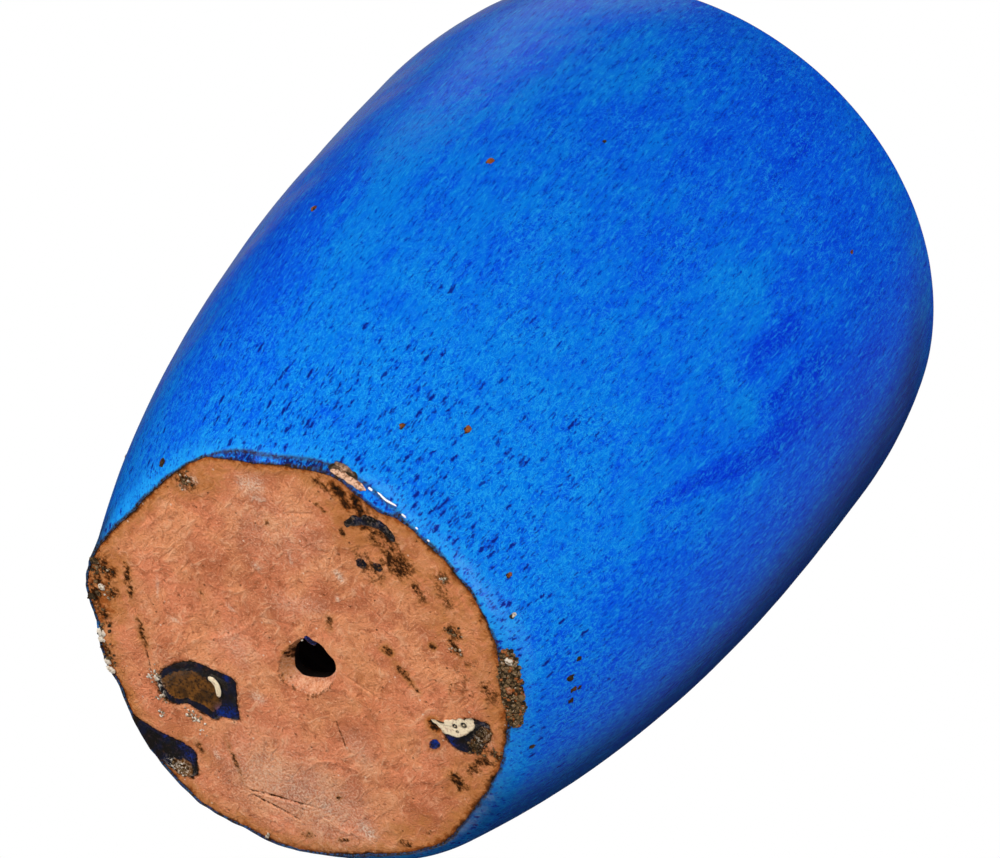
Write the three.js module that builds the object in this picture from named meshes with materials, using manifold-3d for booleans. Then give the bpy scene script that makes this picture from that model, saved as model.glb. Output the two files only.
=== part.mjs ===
// A tall, egg-shaped garden pot of red clay under a blue glaze, with a bare foot and a drain hole.
// The clay body is a base slab, a seam fillet, four luted wall rings and a rim coil. Over it lie the
// glaze coats, and the bare foot holds pools, drops and flakes of glaze and crusts of kiln grit.
// Millimetres, +Z up, origin in the middle of the face that the pot stands on.

import * as THREE from 'three';
import { mergeVertices } from 'three/addons/utils/BufferGeometryUtils.js';
import Module from 'manifold-3d';

const wasm = await Module();
wasm.setup();

// Driving dimensions of the glazed outside. The swell is the power of the curve from foot to belly,
// and the glaze turns in under the foot's rounded edge as far as the edge turn, in degrees.
const FOOT_RADIUS = 120;
const BELLY_RADIUS = 172.3;
const BELLY_HEIGHT = 368;
const BELLY_SWELL = 2.465;
const RIM_RADIUS = 166.9;
const RIM_HEIGHT = 424;
const FOOT_ROUND = 6;
const EDGE_TURN = -75;

// Bare clay face that the pot stands on
const FACE_RADIUS = 115;

// Thicknesses, and the gap between neighbouring pieces
const WALL = 11;
const FLOOR = 14;
const GLAZE = 1.2;
const GAP = 0.3;
const LIP_ROUND = WALL / 2 + GLAZE + GAP;

// Heights of the joints between the pieces
const WALL_JOINTS = [100, 220, 340];
const RIM_JOINT = 404;
const INNER_GLAZE_END = 352;
const SEAM_FILLET = 12;

// Drain hole, a little off the axis, with a bevel worn round its lower edge
const HOLE_X = 3;
const HOLE_Y = -4;
const HOLE_RADIUS = 11.5;
const BEVEL_RADIUS = 16.5;
const BEVEL_DEPTH = 5;

// The foot is out of round: each flat or bulge has a direction, a height and a spread in degrees
const FOOT_BUMPS = [
  { angle: 60, offset: -2.5, spread: 20 },
  { angle: 88, offset: 3.0, spread: 13 },
  { angle: 122, offset: -4.5, spread: 20 },
  { angle: 182, offset: -4.0, spread: 16 },
  { angle: 213, offset: 1.5, spread: 14 },
  { angle: 247, offset: 2.5, spread: 14 },
  { angle: 315, offset: 2.0, spread: 14 },
  { angle: 345, offset: -2.5, spread: 18 },
];
const BUMP_REACH = 60;

// Facets
const ROUND_STEPS = 48;
const LOW_STEP = 10;
const HIGH_STEP = 40;
const LEAST_STEP = 4.5;
const CURVE_STEPS = 3;
const LUMP_STEPS = 14;

// Colours
const CLAY_COLOUR = 0xc27a55;
const BLUE_COLOUR = 0x066ce3;
const NAVY_COLOUR = 0x14204a;
const BROWN_COLOUR = 0x55331a;
const CREAM_COLOUR = 0xf2cfa3;
const GRIT_COLOUR = 0x8a6238;

const pot = new THREE.Group();

function clay() {
  return new THREE.MeshStandardMaterial({ color: CLAY_COLOUR, roughness: 0.9, metalness: 0 });
}

function glaze(colour) {
  return new THREE.MeshStandardMaterial({ color: colour, roughness: 0.2, metalness: 0 });
}

function crust(colour) {
  return new THREE.MeshStandardMaterial({ color: colour, roughness: 0.8, metalness: 0 });
}

function addPiece(name, geometry, material) {
  const piece = new THREE.Mesh(geometry, material);
  piece.name = name;
  pot.add(piece);
}

// The pot's shape

function outerRadius(z) {
  const below = Math.max(0, 1 - z / BELLY_HEIGHT);
  const above = Math.max(0, (z - BELLY_HEIGHT) / (RIM_HEIGHT - BELLY_HEIGHT));
  const swell = (BELLY_RADIUS - FOOT_RADIUS) * below ** BELLY_SWELL;
  return BELLY_RADIUS - swell - (BELLY_RADIUS - RIM_RADIUS) * above ** 2;
}

// The heights at which every piece has points, closer together near the uneven foot
function levels(from, to) {
  const heights = [from];
  let z = 0;
  while (z < to - LEAST_STEP) {
    if (z > from + LEAST_STEP) heights.push(z);
    z += z < BUMP_REACH ? LOW_STEP : HIGH_STEP;
  }
  return [...heights, to];
}

// The same curve moved inwards by a depth, as points going up from one height to another
function wallLine(depth, from, to) {
  return levels(from, to).map((z) => new THREE.Vector2(outerRadius(z) - depth, z));
}

// Part of a circle, from one direction in degrees to another
function arcLine(centreR, centreZ, radius, from, to, steps) {
  const points = [];
  for (let i = 0; i <= steps; i++) {
    const turn = THREE.MathUtils.degToRad(from + ((to - from) * i) / steps);
    points.push(new THREE.Vector2(centreR + radius * Math.cos(turn), centreZ + radius * Math.sin(turn)));
  }
  return points;
}

function footOffset(angle, z) {
  const fade = Math.max(0, 1 - z / BUMP_REACH) ** 2;
  let offset = 0;
  for (const bump of FOOT_BUMPS) {
    const apart = THREE.MathUtils.radToDeg(angle) - bump.angle;
    const away = THREE.MathUtils.euclideanModulo(apart + 180, 360) - 180;
    offset += bump.offset * Math.exp(-((away / bump.spread) ** 2));
  }
  return offset * fade;
}

// Closed meshes

function closedMesh(geometry) {
  geometry.deleteAttribute('normal');
  geometry.deleteAttribute('uv');
  return mergeVertices(geometry);
}

function toSolid(geometry) {
  const merged = closedMesh(geometry);
  return new wasm.Manifold(new wasm.Mesh({
    numProp: 3,
    vertProperties: new Float32Array(merged.attributes.position.array),
    triVerts: new Uint32Array(merged.index.array),
  }));
}

function fromSolid(solid) {
  const mesh = solid.getMesh();
  const geometry = new THREE.BufferGeometry();
  geometry.setAttribute('position', new THREE.BufferAttribute(mesh.vertProperties, 3));
  geometry.setIndex(new THREE.BufferAttribute(mesh.triVerts, 1));
  geometry.computeVertexNormals();
  return geometry;
}

// Turns a closed outline about the pot's axis, and gives the low, wide part the foot's bumps
function revolve(outline) {
  const geometry = new THREE.LatheGeometry([...outline, outline[0]], ROUND_STEPS);
  geometry.rotateX(Math.PI / 2);
  const place = geometry.attributes.position;
  for (let i = 0; i < place.count; i++) {
    const radius = Math.hypot(place.getX(i), place.getY(i));
    if (radius < FOOT_RADIUS / 2) continue;
    const angle = Math.atan2(place.getY(i), place.getX(i));
    const stretch = 1 + footOffset(angle, place.getZ(i)) / radius;
    place.setX(i, place.getX(i) * stretch);
    place.setY(i, place.getY(i) * stretch);
  }
  return closedMesh(geometry);
}

// A flattened round lump with an uneven outline, lying along a direction in degrees
function lump({ x, y, z, length, width, depth, turn, wave }, grow) {
  const geometry = new THREE.SphereGeometry(1, LUMP_STEPS, LUMP_STEPS / 2);
  geometry.rotateX(Math.PI / 2);
  const place = geometry.attributes.position;
  for (let i = 0; i < place.count; i++) {
    const angle = Math.atan2(place.getY(i), place.getX(i));
    const uneven = 1 + wave * Math.cos(3 * angle) + wave * Math.sin(2 * angle);
    place.setX(i, place.getX(i) * uneven);
    place.setY(i, place.getY(i) * uneven);
  }
  geometry.scale(length / 2 + grow, width / 2 + grow, depth + grow);
  geometry.rotateZ(THREE.MathUtils.degToRad(turn));
  geometry.translate(x, y, z);
  return geometry;
}

// Everything below a height, as a block to cut away
function blockBelow(height) {
  const reach = 2 * BELLY_RADIUS;
  const geometry = new THREE.BoxGeometry(reach, reach, reach);
  geometry.translate(0, 0, height - reach / 2);
  return toSolid(geometry);
}

// Pools and drops of glaze sunk in the bare foot. Each has a surface a little above the ground.
const POOLS = [
  { name: 'pool_left', x: -30, y: 61, length: 42, width: 30, depth: 6, turn: -49, wave: 0.05,
    surface: 2.0, colour: BROWN_COLOUR },
  { name: 'pool_right', x: 80.5, y: -36, length: 28, width: 22, depth: 5, turn: -49, wave: 0.06,
    surface: 2.0, colour: NAVY_COLOUR },
  { name: 'pool_edge', x: -21, y: 100.5, length: 32, width: 18, depth: 5, turn: 12, wave: 0.05,
    surface: 0.8, colour: NAVY_COLOUR },
  { name: 'pool_arc', x: -18, y: -100.5, length: 26, width: 8, depth: 3, turn: -34, wave: 0.03,
    surface: 0.4, colour: BROWN_COLOUR },
  { name: 'glaze_drop_1', x: -9.5, y: -78.5, length: 6, width: 5, depth: 2, turn: 20, wave: 0.02,
    surface: 0.3, colour: BROWN_COLOUR },
  { name: 'glaze_drop_2', x: -3, y: -84.5, length: 6, width: 5, depth: 2, turn: 0, wave: 0.02,
    surface: 0.3, colour: BROWN_COLOUR },
  { name: 'glaze_drop_3', x: 74, y: -18, length: 6.4, width: 6.4, depth: 2.4, turn: 0, wave: 0.02,
    surface: 0.3, colour: NAVY_COLOUR },
  { name: 'hole_fleck', x: -5.5, y: -17, length: 8, width: 5, depth: 3, turn: -18, wave: 0.03,
    surface: 0.4, colour: BLUE_COLOUR },
];

function poolSolid(pool) {
  return toSolid(lump({ ...pool, z: 0 }, -GAP)).subtract(blockBelow(pool.surface));
}

// Thin cream flakes lying on the two large pools, clear of the ground
const FLAKES = [
  { name: 'flake_left', x: -26, y: 51.5, z: 0.9, length: 11, width: 3.4, depth: 0.7,
    turn: 32, wave: 0.03 },
  { name: 'flake_right', x: 75.5, y: -37.5, z: 0.9, length: 16, width: 8, depth: 0.7,
    turn: -49, wave: 0.06 },
];

// What the drain hole takes out of the base slab, reaching past it above and below
function drainHole() {
  const outline = [
    new THREE.Vector2(0, -BEVEL_DEPTH),
    new THREE.Vector2(2 * BEVEL_RADIUS - HOLE_RADIUS, -BEVEL_DEPTH),
    new THREE.Vector2(HOLE_RADIUS, BEVEL_DEPTH),
    new THREE.Vector2(HOLE_RADIUS, 2 * FLOOR),
    new THREE.Vector2(0, 2 * FLOOR),
  ];
  const geometry = new THREE.LatheGeometry(outline, ROUND_STEPS);
  geometry.rotateX(Math.PI / 2);
  geometry.translate(HOLE_X, HOLE_Y, 0);
  return toSolid(geometry);
}

// Base slab, with a rounded lower edge, the drain hole and the sunk places for the pools
function baseSlab() {
  const clayRound = FOOT_ROUND - GLAZE - GAP;
  const roundCentre = outerRadius(FOOT_ROUND) - FOOT_ROUND;
  const outline = [
    new THREE.Vector2(0, 0),
    new THREE.Vector2(FACE_RADIUS, 0),
    new THREE.Vector2(FACE_RADIUS + GLAZE / 2, GLAZE + GAP),
    ...arcLine(roundCentre, FOOT_ROUND, clayRound, EDGE_TURN, 0, CURVE_STEPS),
    ...wallLine(GLAZE + GAP, FOOT_ROUND, FLOOR).slice(1),
    new THREE.Vector2(0, FLOOR),
  ];
  let slab = toSolid(revolve(outline)).subtract(drainHole());
  for (const pool of POOLS) {
    slab = slab.subtract(toSolid(lump({ ...pool, z: 0 }, 0)));
  }
  return fromSolid(slab);
}

// A ring of the clay wall between two heights
function wallRing(from, to) {
  const outside = wallLine(GLAZE + GAP, from, to);
  const inside = wallLine(GLAZE + GAP + WALL, from, to).reverse();
  return revolve([...outside, ...inside]);
}

// Clay pressed into the corner between the floor and the wall
function seamFillet() {
  const low = FLOOR + GAP;
  const cornerRadius = outerRadius(low) - GLAZE - GAP - WALL - 2 * GAP;
  const hollow = arcLine(cornerRadius - SEAM_FILLET, low + SEAM_FILLET, SEAM_FILLET, 0, -90, CURVE_STEPS);
  return revolve([...hollow, new THREE.Vector2(cornerRadius, low)]);
}

// Top ring of the wall, ending in a half-round lip
function rimCoil() {
  const lipCentre = outerRadius(RIM_HEIGHT) - LIP_ROUND;
  const outside = wallLine(GLAZE + GAP, RIM_JOINT + GAP, RIM_HEIGHT);
  const lip = arcLine(lipCentre, RIM_HEIGHT, WALL / 2, 0, 180, 2 * CURVE_STEPS);
  const inside = wallLine(GLAZE + GAP + WALL, RIM_JOINT + GAP, RIM_HEIGHT).reverse();
  return revolve([...outside.slice(0, -1), ...lip, ...inside.slice(1)]);
}

// Blue coat over the whole outside, turned in under the rounded lower edge
function outerGlaze() {
  const roundCentre = outerRadius(FOOT_ROUND) - FOOT_ROUND;
  const top = RIM_JOINT - GAP;
  const edge = arcLine(roundCentre, FOOT_ROUND, FOOT_ROUND, EDGE_TURN, 0, CURVE_STEPS);
  const outside = wallLine(0, FOOT_ROUND, top).slice(1);
  const inside = wallLine(GLAZE, FOOT_ROUND, top).slice(1).reverse();
  const innerEdge = arcLine(roundCentre, FOOT_ROUND, FOOT_ROUND - GLAZE, 0, EDGE_TURN, CURVE_STEPS);
  return revolve([...edge, ...outside, ...inside, ...innerEdge]);
}

// Blue band over the lip and a little way down the inside
function rimGlaze() {
  const lipCentre = outerRadius(RIM_HEIGHT) - LIP_ROUND;
  const innerDepth = WALL + GLAZE + 2 * GAP;
  const outside = wallLine(0, RIM_JOINT, RIM_HEIGHT).slice(0, -1);
  const top = arcLine(lipCentre, RIM_HEIGHT, LIP_ROUND, 0, 180, 2 * CURVE_STEPS);
  const inside = wallLine(innerDepth + GLAZE, INNER_GLAZE_END, RIM_HEIGHT).reverse().slice(1);
  const insideBack = wallLine(innerDepth, INNER_GLAZE_END, RIM_HEIGHT).slice(0, -1);
  const topBack = arcLine(lipCentre, RIM_HEIGHT, LIP_ROUND - GLAZE, 180, 0, 2 * CURVE_STEPS);
  const outsideBack = wallLine(GLAZE, RIM_JOINT, RIM_HEIGHT).reverse().slice(1);
  return revolve([...outside, ...top, ...inside, ...insideBack, ...topBack, ...outsideBack]);
}

// Strips stuck on the glaze round the foot: crusts of grit, and a broken roll of glaze
const STRIPS = [
  { name: 'grit_crust_right', from: 304, to: 330, z: 7, tall: 8, thick: 3.2, colour: GRIT_COLOUR },
  { name: 'grit_crust_left', from: 128, to: 160, z: 6, tall: 6, thick: 2.4, colour: GRIT_COLOUR },
  { name: 'foot_glaze_roll', from: 245, to: 266, z: 5.5, tall: 5, thick: 3.0, colour: CREAM_COLOUR },
];
const STRIP_STEPS = 12;
const STRIP_SIDES = 5;

function footStrip({ from, to, z, tall, thick }) {
  const path = [];
  for (let i = 0; i <= STRIP_STEPS; i++) {
    const turn = THREE.MathUtils.degToRad(from + ((to - from) * i) / STRIP_STEPS);
    const radius = outerRadius(z + tall / 2) + footOffset(turn, z) + thick / 2 + GAP;
    path.push(new THREE.Vector3(radius * Math.cos(turn), radius * Math.sin(turn), z));
  }
  const section = new THREE.Shape();
  section.absellipse(0, 0, tall / 2, thick / 2, 0, 2 * Math.PI);
  return closedMesh(new THREE.ExtrudeGeometry(section, {
    curveSegments: STRIP_SIDES,
    steps: STRIP_STEPS,
    extrudePath: new THREE.CatmullRomCurve3(path),
  }));
}

// The assembly, from the ground up
addPiece('base_slab', baseSlab(), clay());
addPiece('seam_fillet', seamFillet(), clay());
const RING_NAMES = ['lower_wall', 'middle_wall', 'upper_wall', 'shoulder_wall'];
const RING_ENDS = [FLOOR, ...WALL_JOINTS, RIM_JOINT];
RING_NAMES.forEach((name, i) => {
  addPiece(name, wallRing(RING_ENDS[i] + GAP, RING_ENDS[i + 1]), clay());
});
addPiece('rim_coil', rimCoil(), clay());
addPiece('outer_glaze', outerGlaze(), glaze(BLUE_COLOUR));
addPiece('rim_glaze', rimGlaze(), glaze(BLUE_COLOUR));
for (const pool of POOLS) {
  addPiece(pool.name, fromSolid(poolSolid(pool)), glaze(pool.colour));
}
for (const flake of FLAKES) {
  addPiece(flake.name, closedMesh(lump(flake, 0)), crust(CREAM_COLOUR));
}
for (const strip of STRIPS) {
  addPiece(strip.name, footStrip(strip), crust(strip.colour));
}

export default pot;
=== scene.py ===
import math

import bpy
import numpy as np
from mathutils import Matrix, Vector, noise


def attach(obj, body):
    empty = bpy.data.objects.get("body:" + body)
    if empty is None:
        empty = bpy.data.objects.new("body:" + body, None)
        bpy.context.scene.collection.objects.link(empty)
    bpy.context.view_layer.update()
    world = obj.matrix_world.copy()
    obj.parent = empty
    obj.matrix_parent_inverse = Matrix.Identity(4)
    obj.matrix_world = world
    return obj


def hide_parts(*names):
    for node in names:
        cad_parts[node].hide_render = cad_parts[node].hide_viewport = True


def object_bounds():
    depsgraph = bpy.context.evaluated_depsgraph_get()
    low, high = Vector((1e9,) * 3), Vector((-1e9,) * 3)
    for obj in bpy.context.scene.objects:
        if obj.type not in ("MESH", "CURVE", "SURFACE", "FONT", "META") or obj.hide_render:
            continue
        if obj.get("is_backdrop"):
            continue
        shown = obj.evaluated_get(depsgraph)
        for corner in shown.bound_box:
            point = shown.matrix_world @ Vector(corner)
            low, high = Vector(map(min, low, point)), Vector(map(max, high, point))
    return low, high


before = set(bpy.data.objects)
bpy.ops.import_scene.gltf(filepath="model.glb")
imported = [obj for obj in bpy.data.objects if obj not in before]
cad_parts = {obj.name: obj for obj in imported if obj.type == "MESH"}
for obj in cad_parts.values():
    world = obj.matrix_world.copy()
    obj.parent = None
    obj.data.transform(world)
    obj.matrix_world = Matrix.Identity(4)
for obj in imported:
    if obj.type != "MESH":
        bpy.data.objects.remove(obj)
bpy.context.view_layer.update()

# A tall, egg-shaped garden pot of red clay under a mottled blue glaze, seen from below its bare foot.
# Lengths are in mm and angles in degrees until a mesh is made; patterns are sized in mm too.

MM = 0.001

# Driving dimensions, the same as those of the solids
FOOT_RADIUS = 120
BELLY_RADIUS = 172.3
BELLY_HEIGHT = 368
BELLY_SWELL = 2.465
RIM_RADIUS = 166.9
RIM_HEIGHT = 424
WALL = 11
FLOOR = 14
GLAZE = 1.2
GAP = 0.3
LIP_ROUND = WALL / 2 + GLAZE + GAP
GROUND = 0.05
JOINTS = [14, 100, 220, 340, 404]
INNER_GLAZE_END = 352
SEAM_FILLET = 12

# The foot is out of round: direction, height and spread of each flat or bulge
FOOT_BUMPS = [
    (60, -2.5, 20), (88, 3.0, 13), (122, -4.5, 20), (182, -4.0, 16), (213, 1.5, 14), (247, 2.5, 14),
    (315, 2.0, 14), (345, -2.5, 18),
]
FOOT_NICKS = [
    (63, 1.5, 7), (87, 1.0, 7), (123, -1.5, 6), (135, 2.0, 6), (142, -1.5, 4), (153, 2.0, 6),
    (177, -1.0, 7), (203, -1.0, 5), (213, 1.0, 6), (226, -1.0, 5), (36, -1.5, 10), (336, -2.2, 12),
]
BUMP_REACH = 60
NICK_REACH = 25

# Where the bare clay ends and the glaze begins: radius at a direction
BARE_EDGE = [
    (5, 111.5), (15, 114.5), (27, 113.5), (39, 112), (51, 114.5), (63, 118.5), (75, 118.5),
    (87, 121.5), (97, 120), (110, 117.5), (117, 115.5), (123, 113.5), (130, 115.5), (135, 116.5),
    (141, 114), (147, 117.5), (153, 121), (160, 121), (165, 119), (171, 116), (177, 113.5), (183, 112),
    (195, 113.5), (201, 116), (207, 118.5), (213, 120), (219, 118), (225, 115.5), (231, 116.5),
    (237, 117.5), (243, 119.5), (246, 120), (249.5, 119), (253, 116.3), (256.5, 114.2), (260.5, 113.8),
    (264.5, 117), (273, 116.8), (281, 117.3), (289, 117.2), (297, 116.3), (303, 115.3), (308, 113.5),
    (314, 111), (322, 111.5), (327, 112), (333, 111.5), (342, 111.5), (350, 110.3), (357, 110),
]

# Linear colours
AZURE = (0.001, 0.182, 0.740)
COBALT = (0.001, 0.084, 0.745)
ULTRA = (0.001, 0.036, 0.66)
SKY = (0.016, 0.38, 0.82)
DEEP = (0.001, 0.034, 0.48)
NAVY = (0.003, 0.017, 0.23)
# Deep navy of the dark laps, and of the shade painted down one side of the glaze
LAP_NAVY_AND_PAINTED_SHADE = (0.002, 0.010, 0.105)
BURNT = (0.026, 0.014, 0.008)
CLAY = (0.80, 0.262, 0.125)
CLAY_TAN = (0.83, 0.330, 0.146)
CLAY_DARK = (0.44, 0.122, 0.048)
CLAY_LIGHT = (0.96, 0.53, 0.31)
CLAY_GOLD = (0.56, 0.210, 0.062)
CLAY_ORANGE = (0.36, 0.090, 0.016)
CLAY_RUST = (0.140, 0.042, 0.010)
# Dark of stains, and of the shade painted inside the pot
CLAY_STAIN_AND_SHADE = (0.036, 0.013, 0.004)
CLAY_PALE = (0.82, 0.63, 0.48)
GLASS_AMBER = (0.190, 0.070, 0.011)
GLASS_BROWN = (0.060, 0.024, 0.005)
GLASS_BLACK = (0.008, 0.006, 0.005)
GLASS_NAVY = (0.006, 0.008, 0.024)
GLASS_BLUE = (0.003, 0.021, 0.175)
# Cream of the painted highlights built as flakes on the pools
CREAM = (0.92, 0.76, 0.52)
CREAM_DARK = (0.62, 0.42, 0.28)
# White of the painted glints on the foot's edge
GLINT = (0.95, 0.93, 0.90)
CHIP_TAN = (0.74, 0.45, 0.30)
CHIP_DARK = (0.26, 0.11, 0.05)
GRIT_DARK = (0.030, 0.019, 0.009)
GRIT_MID = (0.20, 0.120, 0.055)
GRIT_LIGHT = (0.76, 0.66, 0.54)

# Camera: the picture's frame in pixels, the pot's lean in it, and where the foot's middle falls
IMAGE_WIDTH = 1000
IMAGE_HEIGHT = 858
FOCAL_PIXELS = 5000
SENSOR_MM = 36
TILT = 41.27
ROLL = 49.45
FOOT_PIXEL = (300.5, 666.3)
CAMERA_DEPTH = 2449


# Shape functions, for whole arrays of points

def outer_radius(z):
    """Radius of the pot's outside at a height."""
    below = np.maximum(0, 1 - z / BELLY_HEIGHT)
    above = np.maximum(0, (z - BELLY_HEIGHT) / (RIM_HEIGHT - BELLY_HEIGHT))
    to_foot = (BELLY_RADIUS - FOOT_RADIUS) * below ** BELLY_SWELL
    to_rim = (BELLY_RADIUS - RIM_RADIUS) * above ** 2
    return BELLY_RADIUS - to_foot - to_rim


def turn_between(a, b):
    """The signed turn from direction b to direction a, from -180 to 180."""
    return (a - b + 180) % 360 - 180


def bumps_at(bumps, angle):
    """Sum of some soft bumps at each direction."""
    total = 0
    for middle, height, spread in bumps:
        total = total + height * np.exp(-(turn_between(angle, middle) / spread) ** 2)
    return total


def foot_offset(angle, z):
    """How far the foot's outline lies outside a true circle."""
    wide = bumps_at(FOOT_BUMPS, angle) * np.maximum(0, 1 - z / BUMP_REACH) ** 2
    return wide + bumps_at(FOOT_NICKS, angle) * np.maximum(0, 1 - z / NICK_REACH) ** 2


def bare_edge(angle):
    """Radius at which the bare clay ends, with a small wander between the measured places."""
    places = np.array(BARE_EDGE, float)
    radius = np.interp(angle % 360, places[:, 0], places[:, 1], period=360)
    turn = np.radians(angle)
    wander = noise_at(np.stack([np.cos(turn) * FOOT_RADIUS, np.sin(turn) * FOOT_RADIUS, turn * 0], -1), 7, 3)
    return radius + 0.8 * wander


def noise_at(points, size, seed=0):
    """Smooth random values from about -1 to 1, with bumps about one size wide."""
    shift = Vector((17.3, 9.1, 5.7)) * seed
    flat = np.reshape(points, (-1, 3)) / size
    values = np.array([noise.noise(Vector(p) + shift) for p in flat.tolist()])
    return values.reshape(np.shape(points)[:-1])


def smooth_step(value, low, high):
    t = np.clip((value - low) / (high - low), 0, 1)
    return t * t * (3 - 2 * t)


def stretch(value, start, full, fading, end):
    """Rises softly from 0 at start to 1 at full, and falls again from fading to end."""
    return smooth_step(value, start, full) * (1 - smooth_step(value, fading, end))


def soft_spot(angle, height, middle, level, wide, tall):
    """1 at a direction and a level on the wall, falling off softly across and up."""
    return np.exp(-(turn_between(angle, middle) / wide) ** 2 - ((height - level) / tall) ** 2)


def closed_curve(points, steps):
    """A smooth closed curve through a few points, as steps points."""
    points = np.array(points, float)
    count = len(points)
    place = np.arange(steps) * count / steps
    index = place.astype(int)
    t = (place - index)[:, None]
    before, start, end, after = (points[(index + k) % count] for k in (-1, 0, 1, 2))
    return 0.5 * (2 * start + (end - before) * t + (2 * before - 5 * start + 4 * end - after) * t ** 2
                  + (3 * start - before - 3 * end + after) * t ** 3)


def arc_points(centre_r, centre_z, radius, start, end, steps):
    """Part of a circle in the plane of radius and height."""
    turn = np.radians(np.linspace(start, end, steps))
    return np.stack([centre_r + radius * np.cos(turn), centre_z + radius * np.sin(turn)], -1)


def wall_points(depth, start, end, step):
    """Points down or up the wall, at a depth below its outside."""
    z = np.linspace(start, end, max(2, round(abs(end - start) / step) + 1))
    return np.stack([outer_radius(z) - depth, z], -1)


# Meshes

def grid_faces(rows, columns, close_rows=False):
    """Quads of a grid whose columns close on themselves, and its rows too where asked."""
    last = rows if close_rows else rows - 1
    row, column = np.meshgrid(np.arange(last), np.arange(columns), indexing="ij")
    next_row = (row + 1) % rows
    next_column = (column + 1) % columns
    corners = [row * columns + column, row * columns + next_column,
               next_row * columns + next_column, next_row * columns + column]
    return np.stack([c.ravel() for c in corners], -1)


def add_piece(name, points, faces, material, nodes=(), marks=None):
    """A mesh piece of the pot, from points in mm. Marks are named numbers, one for each point."""
    mesh = bpy.data.meshes.new(name)
    mesh.from_pydata((np.reshape(points, (-1, 3)) * MM).tolist(), [], [list(f) for f in faces])
    mesh.shade_smooth()
    for key, values in (marks or {}).items():
        layer = mesh.attributes.new(key, "FLOAT", "POINT")
        layer.data.foreach_set("value", np.ravel(values).astype(np.float32))
    mesh.materials.append(material)
    mesh.validate()
    piece = bpy.data.objects.new(name, mesh)
    bpy.context.scene.collection.objects.link(piece)
    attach(piece, "root")
    if nodes:
        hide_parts(*nodes)
    return piece


def turned(profile, columns):
    """A profile of radius and height turned about the axis: radius, angle and height arrays."""
    angle = np.arange(columns) * 360 / columns
    radius = np.repeat(profile[:, :1], columns, 1)
    height = np.repeat(profile[:, 1:], columns, 1)
    return radius, np.repeat(angle[None], len(profile), 0), height


def from_polar(radius, angle, height):
    turn = np.radians(angle)
    return np.stack([radius * np.cos(turn), radius * np.sin(turn), height], -1)


# Materials

def put_node(tree, kind, inputs=None, **settings):
    """A new shader node with its settings, and with its inputs linked to sockets or set to values."""
    node = tree.nodes.new("ShaderNode" + kind)
    for key, value in settings.items():
        setattr(node, key, value)
    for key, value in (inputs or {}).items():
        socket = node.inputs[key]
        if isinstance(value, bpy.types.NodeSocket):
            tree.links.new(value, socket)
        elif socket.type == "RGBA" and len(value) == 3:
            socket.default_value = (*value, 1)
        else:
            socket.default_value = value
    return node


class Shader:
    """A Principled material, with short ways to add its pattern nodes."""

    def __init__(self, name, roughness, specular=0.5):
        self.material = bpy.data.materials.new(name)
        self.material.use_nodes = True
        self.tree = self.material.node_tree
        self.surface = self.tree.nodes["Principled BSDF"]
        self.surface.inputs["Roughness"].default_value = roughness
        self.surface.inputs["Specular IOR Level"].default_value = specular
        self.place = self.put("TexCoord").outputs["Object"]

    def put(self, kind, inputs=None, **settings):
        return put_node(self.tree, kind, inputs, **settings)

    def stretched(self, scale, turn=0):
        values = {"Vector": self.place, "Rotation": (0, 0, math.radians(turn)), "Scale": scale}
        return self.put("Mapping", values).outputs["Vector"]

    def noise(self, size, detail=2, rough=0.5, twist=0, place=None, output="Fac"):
        values = {"Vector": place or self.place, "Scale": 1 / (size * MM), "Detail": detail}
        values.update({"Roughness": rough, "Distortion": twist})
        return self.put("TexNoise", values).outputs[output]

    def cells(self, size, place=None):
        """Distance to the nearest random point, and a random number for that point."""
        node = self.put("TexVoronoi", {"Vector": place or self.place, "Scale": 1 / (size * MM)})
        parts = self.put("SeparateColor", {"Color": node.outputs["Color"]})
        return node.outputs["Distance"], parts.outputs["Red"]

    def mark(self, name):
        return self.put("Attribute", attribute_name=name).outputs["Fac"]

    def math(self, operation, a, b=0.0, clamp=False):
        return self.put("Math", {0: a, 1: b}, operation=operation, use_clamp=clamp).outputs[0]

    def plus(self, a, b, clamp=False):
        return self.math("ADD", a, b, clamp)

    def times(self, a, b, clamp=False):
        return self.math("MULTIPLY", a, b, clamp)

    def span(self, value, low, high, to_low=0.0, to_high=1.0):
        """A value eased from one range to another, and held at its ends."""
        values = {"Value": value, "From Min": low, "From Max": high, "To Min": to_low, "To Max": to_high}
        return self.put("MapRange", values, interpolation_type="SMOOTHSTEP").outputs["Result"]

    def mix(self, factor, a, b):
        return self.put("Mix", {0: factor, 6: a, 7: b}, data_type="RGBA").outputs[2]

    def tinted(self, colour, layers):
        """A colour with tints laid over it, each growing to its most as a value goes from low to high."""
        for value, low, high, most, tint in layers:
            colour = self.mix(self.span(value, low, high, 0, most), colour, tint)
        return colour

    def finish(self, colour, height, depth):
        """The material with its colour, and with its fine relief up to a depth in mm."""
        bump = self.put("Bump", {"Strength": 1, "Distance": depth * MM, "Height": height})
        self.tree.links.new(colour, self.surface.inputs["Base Color"])
        self.tree.links.new(bump.outputs["Normal"], self.surface.inputs["Normal"])
        return self.material


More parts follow.
